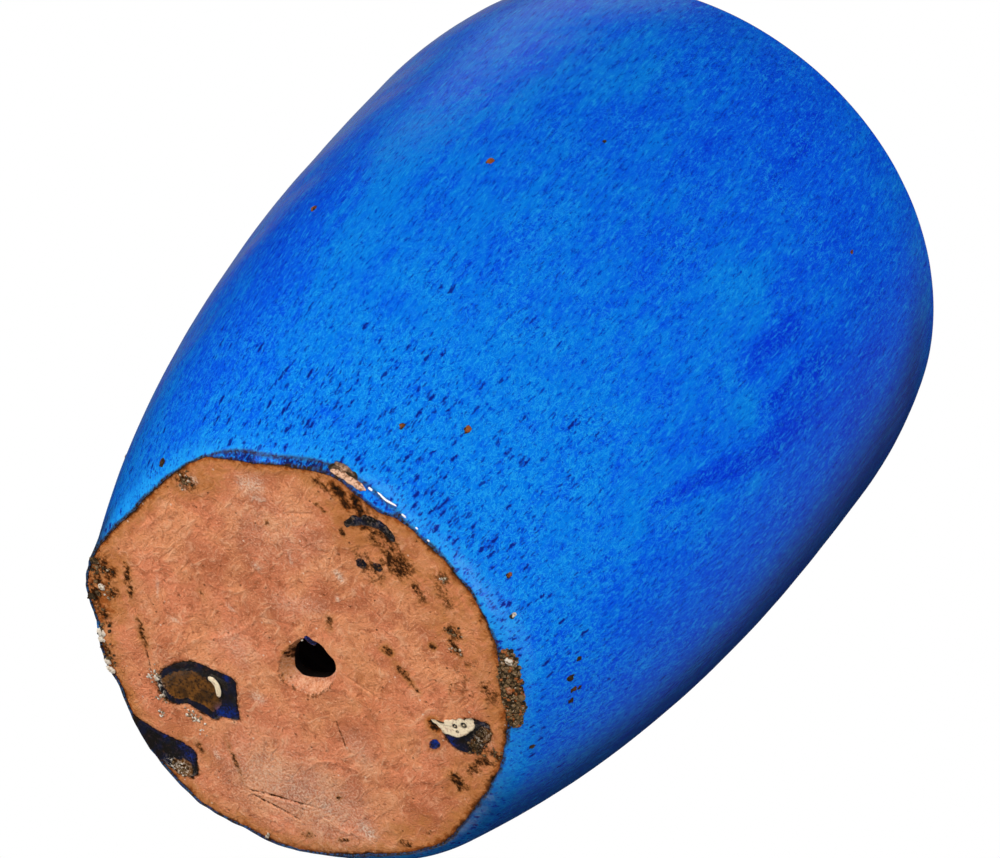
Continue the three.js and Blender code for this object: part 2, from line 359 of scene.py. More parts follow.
def blue_glaze_material():
    s = Shader("blue_glaze", 0.14)
    # Streaky ground from pale to deep blue
    blotch = s.noise(10, 3, 0.6, 0.5, s.stretched((1, 1, 0.55)))
    veil = s.noise(6, 3, 0.6, 0.3, s.stretched((1, 1, 0.13)))
    fleck = s.noise(1.5, 4, 0.65, 0.4, s.stretched((1, 1, 0.22)))
    # Deeper and paler clouds, some of them partly painted shade and painted sheen
    deep = s.plus(s.mark("cloud_and_painted_light"), s.span(blotch, 0.3, 0.7, -0.10, 0.10))
    deep = s.plus(deep, s.span(veil, 0.3, 0.7, -0.16, 0.16), True)
    colour = s.tinted(AZURE, [(deep, 0.0, 0.55, 1, COBALT), (deep, 0.50, 1.0, 1, ULTRA)])
    # Pale foam, dark and pale flecks, and thin curly threads
    foam = s.times(s.mark("foam"), s.span(blotch, 0.35, 0.65, 0.6, 1.3))
    colour = s.mix(foam, colour, SKY)
    colour = s.tinted(colour, [(fleck, 0.48, 0.31, 0.95, DEEP), (fleck, 0.53, 0.69, 0.55, SKY)])
    curl = s.noise(2.6, 4, 0.6, 1.0, s.stretched((1, 1, 0.6)))
    thread = s.span(s.math("ABSOLUTE", s.math("SUBTRACT", curl, 0.5)), 0.040, 0.0)
    colour = s.mix(s.times(thread, s.span(s.mark("dash"), 0.0, 0.5, 0.25, 0.90)), colour, SKY)
    # Dashes, then the dark laps, the painted shade down one side and the burnt edge
    core, halo = glaze_dashes(s)
    colour = s.mix(s.times(halo, 0.5), colour, ULTRA)
    colour = s.mix(core, colour, NAVY)
    colour = s.mix(s.times(s.mark("lap"), s.span(fleck, 0.44, 0.60, 1.0, 0.2)), colour, LAP_NAVY_AND_PAINTED_SHADE)
    # Shade painted down one side of the glaze, streaky at its edges
    streak = s.noise(3.0, 4, 0.6, 0.2, s.stretched((1, 1, 0.06)))
    painted_side_shade = s.times(s.mark("painted_side_shade"), s.span(streak, 0.25, 0.75, 1.15, 0.85), True)
    colour = s.mix(painted_side_shade, colour, LAP_NAVY_AND_PAINTED_SHADE)
    burnt = s.times(s.mark("burnt"), s.span(fleck, 0.3, 0.6, 1.3, 0.75), True)
    colour = s.mix(burnt, colour, BURNT)
    # Fine relief
    peel = s.noise(7, 2, 0.5)
    height = s.plus(s.times(core, -0.5), s.times(fleck, 0.6))
    height = s.plus(height, s.times(peel, 0.8))
    return s.finish(colour, height, 0.25)


# Dashes come in two sizes: width and strength. They wander across and along by a share of their width
DASH_SIZES = [(2.5, 1.0), (1.4, 0.7)]
DASH_WANDER = (1.1, 1.1, 0.3)
DASH_SWIRL = 1.6
DASH_STRETCH = (1, 1, 0.10)


def glaze_dashes(s):
    """Thin ragged dark dashes along the wall and a softer edge round them; the dash mark says how many."""
    cores, halos = [], []
    for wide, most in DASH_SIZES:
        swirl = s.noise(DASH_SWIRL, 3, place=s.stretched((1, 1, 0.6)), output="Color")
        wander = [share * wide * MM for share in DASH_WANDER]
        values = {0: swirl, 1: wander, 2: s.stretched(DASH_STRETCH)}
        place = s.put("VectorMath", values, operation="MULTIPLY_ADD").outputs[0]
        distance, chance = s.cells(wide, place)
        room = s.math("SUBTRACT", s.mark("dash"), chance)
        inside = s.math("SUBTRACT", s.span(room, 0.0, 0.35, 0.0, 0.34), distance)
        strong = s.span(room, 0.0, 0.40, 0.35 * most, most)
        cores.append(s.times(s.span(inside, -0.08, 0.12), strong))
        halos.append(s.times(s.span(inside, -0.28, 0.0), strong))
    return s.math("MAXIMUM", *cores), s.math("MAXIMUM", *halos)


def clay_material():
    s = Shader("clay", 0.85, 0.12)
    # Broad to fine mottling of dark, tan and light clay
    wide = s.noise(42, 3, 0.5)
    hue = s.noise(24, 3, 0.5, 0, s.stretched((1, 1, 1), 40))
    middle = s.noise(9, 4, 0.6)
    ridge = s.noise(6.5, 4, 0.62, 2.0, s.stretched((1, 0.55, 1), 30))
    blot = s.noise(3.2, 3, 0.6)
    fine = s.noise(1.2, 4, 0.7)
    colour = s.mix(s.span(wide, 0.34, 0.60, 0.25, 1), CLAY_DARK, CLAY)
    colour = s.tinted(colour, [
        (hue, 0.42, 0.62, 0.80, CLAY_TAN),
        (middle, 0.48, 0.28, 0.80, CLAY_DARK), (middle, 0.55, 0.72, 0.40, CLAY_LIGHT),
        (ridge, 0.53, 0.72, 0.55, CLAY_LIGHT), (ridge, 0.46, 0.28, 0.90, CLAY_DARK),
        (fine, 0.47, 0.30, 0.70, CLAY_DARK), (fine, 0.53, 0.70, 0.60, CLAY_LIGHT),
    ])
    # Orange burns, rusty specks and pale dots
    orange = s.times(s.mark("orange"), s.span(blot, 0.3, 0.65, 1.35, 0.65), True)
    colour = s.tinted(colour, [(orange, 0.0, 0.6, 0.85, CLAY_GOLD), (orange, 0.5, 1.0, 0.9, CLAY_ORANGE)])
    distance, chance = s.cells(3.4)
    speck = s.times(s.span(distance, 0.22, 0.08), s.span(chance, 0.86, 0.92))
    colour = s.mix(s.times(speck, 0.6), colour, CLAY_RUST)
    pale_distance, pale_chance = s.cells(5.5)
    dot = s.times(s.span(pale_distance, 0.14, 0.06), s.span(pale_chance, 0.80, 0.84))
    colour = s.mix(s.times(dot, 0.7), colour, CLAY_PALE)
    # Scuffs, stains and soot, with ragged edges
    pale = s.times(s.mark("pale"), s.span(fine, 0.40, 0.60, 0.15, 1.2), True)
    colour = s.mix(pale, colour, CLAY_PALE)
    chip = s.noise(1.9, 4, 0.7)
    ragged = s.times(s.span(blot, 0.30, 0.68, 1.7, 0.35), s.span(chip, 0.38, 0.62, 1.6, 0.4))
    stain_and_painted_shade = s.times(s.mark("stain_and_painted_shade"), ragged)
    soot = s.times(s.mark("soot"), s.span(blot, 0.28, 0.70, 1.7, 0.8))
    colour = s.tinted(colour, [
        (stain_and_painted_shade, 0.10, 0.55, 0.80, CLAY_RUST), (stain_and_painted_shade, 0.50, 1.05, 1, CLAY_STAIN_AND_SHADE),
        # The strongest marks go black: a few dark stains, and the shade painted down the drain hole
        (stain_and_painted_shade, 1.6, 2.4, 1, GLASS_BLACK),
        (soot, 0.15, 0.50, 0.85, CLAY_RUST), (soot, 0.45, 0.85, 1, BURNT),
    ])
    # Fine relief
    height = s.plus(s.times(fine, 0.5), s.times(middle, 0.9))
    height = s.plus(height, s.times(ridge, 0.8))
    height = s.plus(height, s.times(speck, -0.5))
    return s.finish(colour, height, 1.6)


def pool_material():
    s = Shader("pool_glass", 0.12)
    fine = s.noise(1.5, 4, 0.65)
    middle = s.noise(6, 3, 0.6)
    rim = s.tinted(GLASS_BLACK, [(middle, 0.42, 0.62, 1, GLASS_NAVY), (fine, 0.52, 0.70, 0.5, GLASS_BROWN)])
    brown = s.tinted(GLASS_BROWN, [
        (middle, 0.35, 0.66, 1, GLASS_AMBER), (fine, 0.50, 0.34, 0.8, GLASS_BLACK),
        (fine, 0.58, 0.72, 0.35, GRIT_MID),
    ])
    edge = s.plus(s.mark("brown"), s.span(fine, 0.3, 0.7, -0.35, 0.35))
    colour = s.mix(s.span(edge, 0.35, 0.65), rim, brown)
    blue = s.times(s.mark("blue"), s.span(fine, 0.40, 0.62, 0.05, 1.3), True)
    colour = s.mix(blue, colour, GLASS_BLUE)
    pale = s.times(s.mark("pale"), s.span(fine, 0.48, 0.62), True)
    colour = s.mix(pale, colour, GRIT_LIGHT)
    return s.finish(colour, s.plus(fine, middle), 0.4)


def cream_material():
    s = Shader("cream_flake", 0.5, 0.35)
    fine = s.noise(1.2, 3, 0.6)
    # The cream flakes are painted highlights; tan marks the chips
    colour = s.mix(s.span(fine, 0.30, 0.52), CREAM_DARK, CREAM)
    tan = s.mix(s.span(fine, 0.40, 0.56), CHIP_DARK, CHIP_TAN)
    colour = s.mix(s.mark("tan"), colour, tan)
    # White marks the painted glints
    colour = s.mix(s.mark("white"), colour, GLINT)
    colour = s.mix(s.mark("stain_and_painted_shade"), colour, GRIT_DARK)
    return s.finish(colour, fine, 0.3)


def grit_material():
    s = Shader("grit", 0.65, 0.3)
    fine = s.noise(1.1, 3, 0.6)
    tone = s.plus(s.mark("tone"), s.span(fine, 0.2, 0.8, -0.3, 0.3), True)
    colour = s.tinted(GRIT_DARK, [(tone, 0.05, 0.55, 1, GRIT_MID), (tone, 0.62, 1.0, 1, GRIT_LIGHT)])
    colour = s.mix(s.times(s.mark("rust"), 0.7), colour, CLAY_ORANGE)
    return s.finish(colour, fine, 0.5)


# Glaze coat: outside, lip and a band down the inside, as one closed skin

COAT_COLUMNS = 360
EDGE_ROWS = 22
DASH_SIDE = 262
# Clouds of deeper and paler blue: direction, height, reach across and up, lean, and how much deeper.
# Most are the glaze's own; the wide deep ones at 318 and 330 degrees are partly painted shade, and the pale
# ones at 216 and 221 degrees partly a painted sheen
GLAZE_CLOUDS_AND_PAINTED_LIGHT = [
    (297, 245, 2.2, 32, 0.04, 0.80), (305.5, 255, 2.0, 36, 0.03, 0.75),
    (311, 225, 2.3, 32, 0.05, 0.80), (308.5, 180, 2.0, 26, 0.10, 0.90),
    (304, 135, 1.6, 30, 0.06, 0.70), (318, 290, 20, 100, 0, 0.35), (330, 110, 18, 120, 0, 0.28),
    (275, 370, 30, 70, 0, 0.28), (253, 310, 2.5, 26, 0, 0.25), (266, 305, 3, 28, 0, 0.30),
    (240, 265, 8, 22, 0, 0.20), (203, 150, 13, 130, 0, 0.28), (292, 300, 3, 40, 0.02, 0.25),
    (278, 330, 2.5, 40, 0, 0.20), (221, 190, 5, 75, 0, -0.30), (216, 240, 6, 36, 0, -0.30),
    (286, 250, 6, 22, 0, -0.40), (301, 245, 2, 20, 0, -0.30), (301, 207, 6, 12, 0, -0.40),
    (314, 195, 3.5, 16, 0, -0.35), (302, 102, 3, 9, 0, -0.60), (242, 330, 12, 70, 0, -0.15),
    (262, 60, 40, 70, 0, -0.25), (60, 240, 2.5, 35, 0.05, 0.60), (72, 200, 2.2, 40, 0.04, 0.60),
    (40, 280, 12, 70, 0, 0.35), (75, 100, 26, 80, 0, -0.25), (128, 270, 3, 40, 0.03, 0.60),
    (150, 180, 2.4, 35, 0.05, 0.55), (112, 320, 14, 70, 0, 0.35), (140, 70, 26, 60, 0, -0.25),
    (20, 180, 2.5, 30, 0.04, 0.50), (10, 60, 22, 55, 0, -0.25), (172, 230, 4, 60, 0, -0.30),
    (165, 320, 3, 40, 0, 0.45), (95, 210, 6, 30, 0, -0.35),
]
# Dents: direction, height, depth, and reach across and up
DENTS = [
    (195, 352, 1.1, 8, 18), (199, 320, 1.1, 9, 20), (189, 288, 0.7, 8, 20), (194, 231, 1.0, 8, 20),
    (186, 196, 0.9, 8, 16), (188, 120, 0.8, 9, 20), (20, 260, 0.9, 10, 25), (70, 180, 0.8, 12, 25),
    (120, 330, 0.9, 10, 20),
]
# A ledge runs along the foot's edge on one side: its height at a direction
LEDGE = [
    (213, 0), (215.5, 2.3), (218, 3.5), (221, 4.2), (224.5, 4.6), (228, 3.8), (232, 3.4), (238, 4.7),
    (241.5, 5.1), (244.9, 4.9), (245.7, 7.6), (248, 7.5), (250.4, 5.2), (254, 5.4), (258, 4.7),
    (260.5, 4.5), (262.7, 3.6), (265, 2.1), (268, 0),
]
LEDGE_STEP = 0.6
# Dark mottled glaze below the ledge: directions where it starts, is full, fades and ends
DARK_LAPS = [(216, 219, 225, 228), (231, 234, 243, 246)]
# Burnt glaze along the foot on the far side, in the same way, and the heights between which it fades
DARK_FOOT = [(30, 50, 118, 136), (140, 152, 164, 178)]
DARK_FOOT_TOP = (8, 26)
# Width of the burnt line along the bare clay at a direction
BURNT_LINE = [
    (0, 1.2), (190, 1.3), (213, 1.0), (230, 1.0), (238, 2.2), (243, 2.6), (248, 2.8), (253, 1.4),
    (258, 1.0), (263, 1.6), (267, 3.0), (275, 2.0), (282, 1.1), (300, 1.0), (320, 1.5), (335, 1.0),
    (360, 1.2),
]
# Shade painted down one side of the glaze: the direction where it begins, at a height. Then how dark it
# gets, the turn past that direction, and the heights between which it fades
PAINTED_SHADE_SIDE = [(0, 353), (110, 348), (234, 339), (345, 332), (390, 322), (431, 312)]
PAINTED_SHADE_MOST = 0.68
PAINTED_SHADE_TURN = (-14, 7, 10, 75)
PAINTED_SHADE_TOP = (380, 426)
# The foot's glazed edge rises from the bare clay, turns, and runs into the wall
EDGE_LIFT = 0.7
EDGE_TURN = 6.5
EDGE_TOP = 16
# The rows of the skin lie closer together up to this height
CLOSE_ROWS_TOP = 24


def edge_corners(angle):
    """Guide points of the glazed edge, as radius and height: at the bare clay, the turn and the wall."""
    top = outer_radius(EDGE_TOP) + foot_offset(angle, EDGE_TOP)
    lean = outer_radius(EDGE_TOP + 0.5) - outer_radius(EDGE_TOP - 0.5)
    turn = top - lean * (EDGE_TOP - EDGE_TURN)
    return (bare_edge(angle), EDGE_LIFT), (turn, EDGE_TURN), (top, EDGE_TOP)


def edge_length(angle):
    """Length of the foot's glazed edge from the bare clay to the wall."""
    (r0, z0), (r1, z1), (r2, z2) = edge_corners(angle)
    return (np.hypot(r1 - r0, z1 - z0) + np.hypot(r2 - r1, z2 - z1) + np.hypot(r2 - r0, z2 - z0)) / 2


def edge_place(angle, run, out):
    """Radius and height at a run in mm up from the bare clay, and out mm proud of the glazed edge."""
    (r0, z0), (r1, z1), (r2, z2) = edge_corners(angle)
    up = np.clip(run / edge_length(angle), 0, 1)
    radius = (1 - up) ** 2 * r0 + 2 * up * (1 - up) * r1 + up ** 2 * r2
    height = (1 - up) ** 2 * z0 + 2 * up * (1 - up) * z1 + up ** 2 * z2
    along_r = (1 - up) * (r1 - r0) + up * (r2 - r1)
    along_z = (1 - up) * (z1 - z0) + up * (z2 - z1)
    along = np.hypot(along_r, along_z)
    return radius + np.minimum(0, run) + out * along_z / along, height - out * along_r / along


def coat_profile():
    """Rows of the skin from the foot's edge up the outside, over the lip, and back behind it."""
    lip = outer_radius(RIM_HEIGHT) - LIP_ROUND
    inside = WALL + 2 * GLAZE + 2 * GAP
    low_rows = wall_points(0, EDGE_TOP, CLOSE_ROWS_TOP, 0.9)[1:]
    outside_rows = np.concatenate([low_rows, wall_points(0, CLOSE_ROWS_TOP, RIM_HEIGHT, 2.4)[1:]])
    lip_rows = arc_points(lip, RIM_HEIGHT, LIP_ROUND, 0, 180, 15)[1:]
    band_rows = wall_points(inside, RIM_HEIGHT, INNER_GLAZE_END, 4)[1:]
    band_back = wall_points(inside - GLAZE, INNER_GLAZE_END, RIM_HEIGHT, 12)
    lip_back = arc_points(lip, RIM_HEIGHT, LIP_ROUND - GLAZE, 180, 0, 7)[1:]
    outside_back = wall_points(GLAZE, RIM_HEIGHT, EDGE_TOP, 20)[1:]
    return [outside_rows, lip_rows, band_rows, band_back, lip_back, outside_back]


def coat_skin(place, angle, height):
    """How far the glaze lies inside the true form: gentle waves, dimples and a few dents."""
    waves = 0.45 * (0.5 + 0.5 * noise_at(place, 55, 1))
    dimples = 0.18 * (0.5 + 0.5 * noise_at(place, 16, 2))
    skin = -0.25 - waves - dimples
    for middle, level, depth, wide, tall in DENTS:
        skin = skin - depth * soft_spot(angle, height, middle, level, wide, tall)
    return skin * smooth_step(height, 2, 14)


def glaze_coat(material):
    """The whole skin: the foot's edge, the outside, the lip, the inner band, and the back of each."""
    angle_row = np.arange(COAT_COLUMNS) * 360 / COAT_COLUMNS
    parts = coat_profile()
    length = edge_length(angle_row)
    front = [edge_place(angle_row, share * length, -0.05) for share in np.linspace(0, 1, EDGE_ROWS)]
    back = [edge_place(angle_row, share * length, -GLAZE) for share in np.linspace(1, 0, 5)]
    body_r, _, body_z = turned(np.concatenate(parts), COAT_COLUMNS)
    angle = np.repeat(angle_row[None], len(front) + len(body_r) + len(back), 0)
    body_r = body_r + foot_offset(angle[:len(body_r)], body_z)
    radius = np.concatenate([[r for r, _ in front], body_r, [r for r, _ in back]])
    height = np.concatenate([[z for _, z in front], body_z, [z for _, z in back]])
    row = np.arange(len(radius))[:, None] + np.zeros_like(radius)
    inner_start = len(front) + len(parts[0]) + len(parts[1])
    inner = (row >= inner_start) & (row < inner_start + len(parts[2]) + len(parts[3]))
    skin = np.where(inner, 0, coat_skin(from_polar(radius, angle, height), angle, height))
    ledge = np.interp(angle, *zip(*LEDGE), left=-9, right=-9)
    below = (1 - smooth_step(height - ledge, -0.4, 0.5)) * (ledge > -9)
    drip = 4 * noise_at(from_polar(90, angle, 0 * height), 30, 4)
    height = height + np.where(inner, drip * smooth_step(-height, 20 - RIM_HEIGHT, -INNER_GLAZE_END), 0)
    points = from_polar(radius + skin - LEDGE_STEP * below, angle, height)
    run = np.where(row < EDGE_ROWS, row / (EDGE_ROWS - 1) * length, length)
    run = np.where(row >= len(row) - len(back), 0, run)
    add_piece("glaze_coat", points, grid_faces(len(points), COAT_COLUMNS, True), material,
              ["outer_glaze", "rim_glaze"], coat_marks(points, angle, height, run, ledge, below, inner))


def coat_marks(points, angle, height, run, ledge, below, inner):
    """Where the glaze is deeper or paler, partly as painted light, dashed, foamy, dark or burnt, and where
    shade is painted down one side.
    """
    cloud_and_painted_light = 0.30 + 0.13 * noise_at(points, 60, 5) + 0.09 * noise_at(points, 24, 6)
    for middle, level, wide, tall, lean, amount in GLAZE_CLOUDS_AND_PAINTED_LIGHT:
        leaning = middle + lean * (height - level)
        cloud_and_painted_light = cloud_and_painted_light + amount * soft_spot(angle, height, leaning, level, wide, tall)
    crowd = 0.75 + 0.25 * np.cos(np.radians(2 * (angle - DASH_SIDE)))
    dash = crowd * (0.38 * np.exp(-(height / 75) ** 2) + 0.20 * np.exp(-(height / 240) ** 2) + 0.06)
    dash = dash + 0.26 * noise_at(points, 22, 7)
    foam = 0.55 * np.exp(-(height / 11) ** 2) * (1 - below)
    lap = sum(stretch(angle, *span) for span in DARK_LAPS) * below
    line = (ledge > 0.3) * np.exp(-((height - ledge) / 0.7) ** 2)
    uneven = 1 + 0.7 * noise_at(points, 11, 15) + 0.6 * noise_at(points, 4.5, 16)
    wide = np.interp(angle, *zip(*BURNT_LINE)) * np.maximum(0.15, uneven)
    border = 1 - smooth_step(run, 0.5 * wide, 1.3 * wide)
    far_edge = sum(stretch(angle, *span) for span in DARK_FOOT) * (1 - smooth_step(height, *DARK_FOOT_TOP))
    # Painted shade down one side of the outside, fading out near the rim
    past = turn_between(angle, np.interp(height, *zip(*PAINTED_SHADE_SIDE)))
    painted_side_shade = PAINTED_SHADE_MOST * stretch(past, *PAINTED_SHADE_TURN) * (1 - smooth_step(height, *PAINTED_SHADE_TOP))
    return {"cloud_and_painted_light": np.clip(cloud_and_painted_light, 0, 1), "dash": dash, "foam": foam, "lap": lap,
            "painted_side_shade": np.where(inner, 0, painted_side_shade),
            "burnt": np.clip(border + 0.9 * line + 0.8 * far_edge, 0, 1)}


# Clay rings of the wall, with faint throwing ripples inside. They leave room for the dents of the glaze

RING_COLUMNS = 180
RIPPLE = 13
SKIN_ROOM = 2
# Dark spots on the inside: direction, height, and reach across and up. The spot at 90 degrees and 165 mm,
# seen through the drain hole, is painted shade
INSIDE_DARK_SPOTS = [(90, 165, 17, 45), (205, 120, 24, 40), (310, 140, 18, 36)]
INSIDE_DARK_STRENGTH = 9


def clay_ring(name, low, high, material):
    """One ring of the wall, darker on its inside towards the bottom and in a few spots, one of them painted
    shade.
    """
    outside = wall_points(GLAZE + GAP + SKIN_ROOM, low, high, 20)
    inside = wall_points(GLAZE + GAP + WALL, high, low, 2.6)
    radius, angle, height = turned(np.concatenate([outside, inside]), RING_COLUMNS)
    is_inside = np.arange(len(radius))[:, None] >= len(outside)
    place = from_polar(radius, angle, height)
    wave = 2 * math.pi * (height + angle * RIPPLE / 360) / RIPPLE + 2 * noise_at(place, 70, 8)
    ripple = 0.5 + 0.5 * np.sin(wave)
    thick = (0.7 * ripple + 0.5 * (1 + noise_at(place, 45, 9))) * (1 - smooth_step(height, 335, 348))
    offset = foot_offset(angle, height) - np.where(is_inside, thick, 0)
    # Darker towards the bottom of the inside
    darker_low = np.where(is_inside, 1 - smooth_step(height + 40 * noise_at(place, 40, 10), 150, 340), 0)
    inside_dark = 1.2 * darker_low ** 2
    # Dark spots; the one seen through the drain hole is painted shade
    for dark_spot in INSIDE_DARK_SPOTS:
        inside_dark = inside_dark + INSIDE_DARK_STRENGTH * darker_low * soft_spot(angle, height, *dark_spot)
    add_piece(name, from_polar(radius + offset, angle, height), grid_faces(len(radius), RING_COLUMNS, True),
              material, [name], {"stain_and_painted_shade": inside_dark, "orange": 0.7 * darker_low})


def rim_coil(material):
    lip = outer_radius(RIM_HEIGHT) - LIP_ROUND
    outside = wall_points(GLAZE + GAP, JOINTS[-1] + GAP, RIM_HEIGHT, 10)
    top = arc_points(lip, RIM_HEIGHT, WALL / 2, 0, 180, 9)[1:-1]
    inside = wall_points(GLAZE + GAP + WALL, RIM_HEIGHT, JOINTS[-1] + GAP, 5)
    radius, angle, height = turned(np.concatenate([outside, top, inside]), RING_COLUMNS)
    add_piece("rim_coil", from_polar(radius, angle, height), grid_faces(len(radius), RING_COLUMNS, True),
              material, ["rim_coil"])


def seam_fillet(material):
    low = FLOOR + GAP
    corner = outer_radius(np.array(low)) - GLAZE - GAP - WALL - 2 * GAP
    hollow = arc_points(corner - SEAM_FILLET, low + SEAM_FILLET, SEAM_FILLET, 0, -90, 10)
    radius, angle, height = turned(np.concatenate([hollow, [[corner, low]]]), RING_COLUMNS)
    points = from_polar(radius + foot_offset(angle, height), angle, height)
    add_piece("seam_fillet", points, grid_faces(len(radius), RING_COLUMNS, True)[:, ::-1], material,
              ["seam_fillet"], {"stain_and_painted_shade": 1 + 0 * radius})


# Pools of glaze sunk in the foot: outline, the part of it that is brown, and blue and pale spots

POOLS = {
    "pool_left": dict(
        middle=(-29, 61), slot="brown_glaze", sink=4.5,
        outline=[
            (-49, 76), (-51, 67), (-48, 57), (-42, 48), (-32, 43), (-22, 39), (-17, 42), (-12, 50),
            (-6, 58), (-13, 64), (-15, 69), (-20, 70), (-26, 72), (-31, 73), (-36, 79), (-43, 80),
        ],
        brown=[
            (-47.5, 71), (-46.5, 63), (-42, 56), (-36, 52), (-28, 51), (-21, 54), (-18, 60), (-19, 65),
            (-26, 67), (-32, 70), (-37, 75.5), (-43, 75.5),
        ],
        blue=[(-11.5, 57, 4), (-14, 62, 3.4), (-24, 41, 1.6)],
        pale=[(-48, 75, 2.5), (-44, 79, 2.5)],
    ),
    "pool_right": dict(
        middle=(84, -37), slot="navy_glaze", sink=3.5,
        outline=[
            (73.5, -28), (73, -34), (76, -42), (80, -47), (86, -51), (90.5, -49.5), (93, -45),
            (92.5, -40), (93.5, -35), (92, -31), (89.5, -28), (85.5, -25.5), (82, -25), (77, -26),
        ],
        brown=[
            (87, -34), (86, -40), (86, -48), (91, -50), (94, -44), (94, -36), (91, -31),
        ],
        blue=[(79.5, -27, 2.4)],
        pale=[(88, -46, 3), (90, -38, 3)],
    ),
    "pool_edge": dict(
        middle=(-22, 106), slot="navy_glaze", sink=3.5,
        outline=[
            (-49, 106), (-43, 104), (-34, 102), (-26, 99), (-18, 96), (-12, 96), (-8, 101), (-4, 107),
            (-7, 113), (-18, 116), (-33, 114),
        ],
        brown=[
            (-14, 106), (-10, 104), (-6, 108), (-7, 112), (-14, 114), (-18, 111),
        ],
        blue=[(-28, 101.5, 1.6), (-19, 99, 2.6), (-13, 100, 3.0)],
        pale=[(-11, 111, 4), (-17, 113, 3)],
    ),
}
POOL_COLUMNS = 96
POOL_RIM = 2.2
POOL_SHARES = [1.0, 0.97, 0.93, 0.88, 0.82, 0.75, 0.66, 0.56, 0.45, 0.33, 0.2, 0.08]


def ring_ratio(outline, middle, x, y):
    """How far each point lies from a middle, where 1 is on the outline round it."""
    curve = closed_curve(outline, 4 * POOL_COLUMNS) - middle
    turn = np.arctan2(curve[:, 1], curve[:, 0])
    order = np.argsort(turn)
    reach = np.hypot(curve[:, 0], curve[:, 1])[order]
    dx, dy = x - middle[0], y - middle[1]
    return np.hypot(dx, dy) / np.interp(np.arctan2(dy, dx), turn[order], reach, period=2 * math.pi)


def pool_ratio(pool, x, y):
    return ring_ratio(pool["outline"], pool["middle"], x, y)


def spots_at(spots, x, y):
    return np.max([np.exp(-((x - a) ** 2 + (y - b) ** 2) / size ** 2) for a, b, size in spots], axis=0)


def glaze_pool(name, pool, material):
    """A shallow pool with a rolled rim and a dished middle: its back first, then the face that shows."""
    outline = closed_curve(pool["outline"], POOL_COLUMNS)
    middle = np.array(pool["middle"], float)
    rows = []
    for share in POOL_SHARES[::-1]:
        level = POOL_RIM + (pool["sink"] - POOL_RIM) * (1 - share ** 2)
        rows.append(with_height(middle + (outline - middle) * share, level))
    for share in POOL_SHARES:
        flat = middle + (outline - middle) * share
        place = with_height(flat, 0)
        roll = 0.45 * np.exp(-((share - 0.88) / 0.07) ** 2)
        dish = 1.2 * (1 - smooth_step(share, 0.45, 0.85))
        lumpy = 0.25 * noise_at(place, 5, 11) * smooth_step(share, 0.6, 0.8) + 0.12 * noise_at(place, 12, 12)
        z = 0.95 - roll + dish + lumpy + 0.7 * smooth_step(share, 0.93, 1.0)
        rows.append(np.concatenate([flat, np.maximum(GROUND, z)[:, None]], 1))
    points = np.array(rows)
    x, y = points[..., 0], points[..., 1]
    ratio = ring_ratio(pool["brown"], np.mean(pool["brown"], axis=0), x, y) + 0.10 * noise_at(points, 5, 13)
    marks = {"brown": 1 - smooth_step(ratio, 0.9, 1.12), "blue": spots_at(pool["blue"], x, y),
             "pale": spots_at(pool["pale"], x, y)}
    add_piece(name, points, capped_faces(len(points), POOL_COLUMNS), material, [name], marks)


# Base slab: bare clay foot with its marks, the drain hole and the places for the pools

SLAB_COLUMNS = 420
FACE_ROWS = 200
HOLE_MIDDLE = (3, -5)
OPENING = [
    (-8, 11), (-10, 6), (-10.5, -2), (-10, -8.5), (-8, -14.5), (-3, -18), (1, -19), (6, -17.5),
    (10.5, -16.5), (14, -13), (17, -7), (17.5, 1.5), (14.5, 11), (7.5, 15), (-0.5, 16.5), (-5.5, 14.5),
]
NECK = [
    (-8, -2), (-5.5, 4), (-2, 9), (1, 10), (4, 10), (8.5, 6.5), (13.5, 0.5), (14.5, -6), (12, -12),
    (8, -15), (3, -16.5), (-2, -16), (-6.5, -12), (-8, -7),
]
NECK_HEIGHT = 7
NECK_FLARE = 0.12
FACE_HEIGHT = 1.3
HOLE_EDGE = 1.2

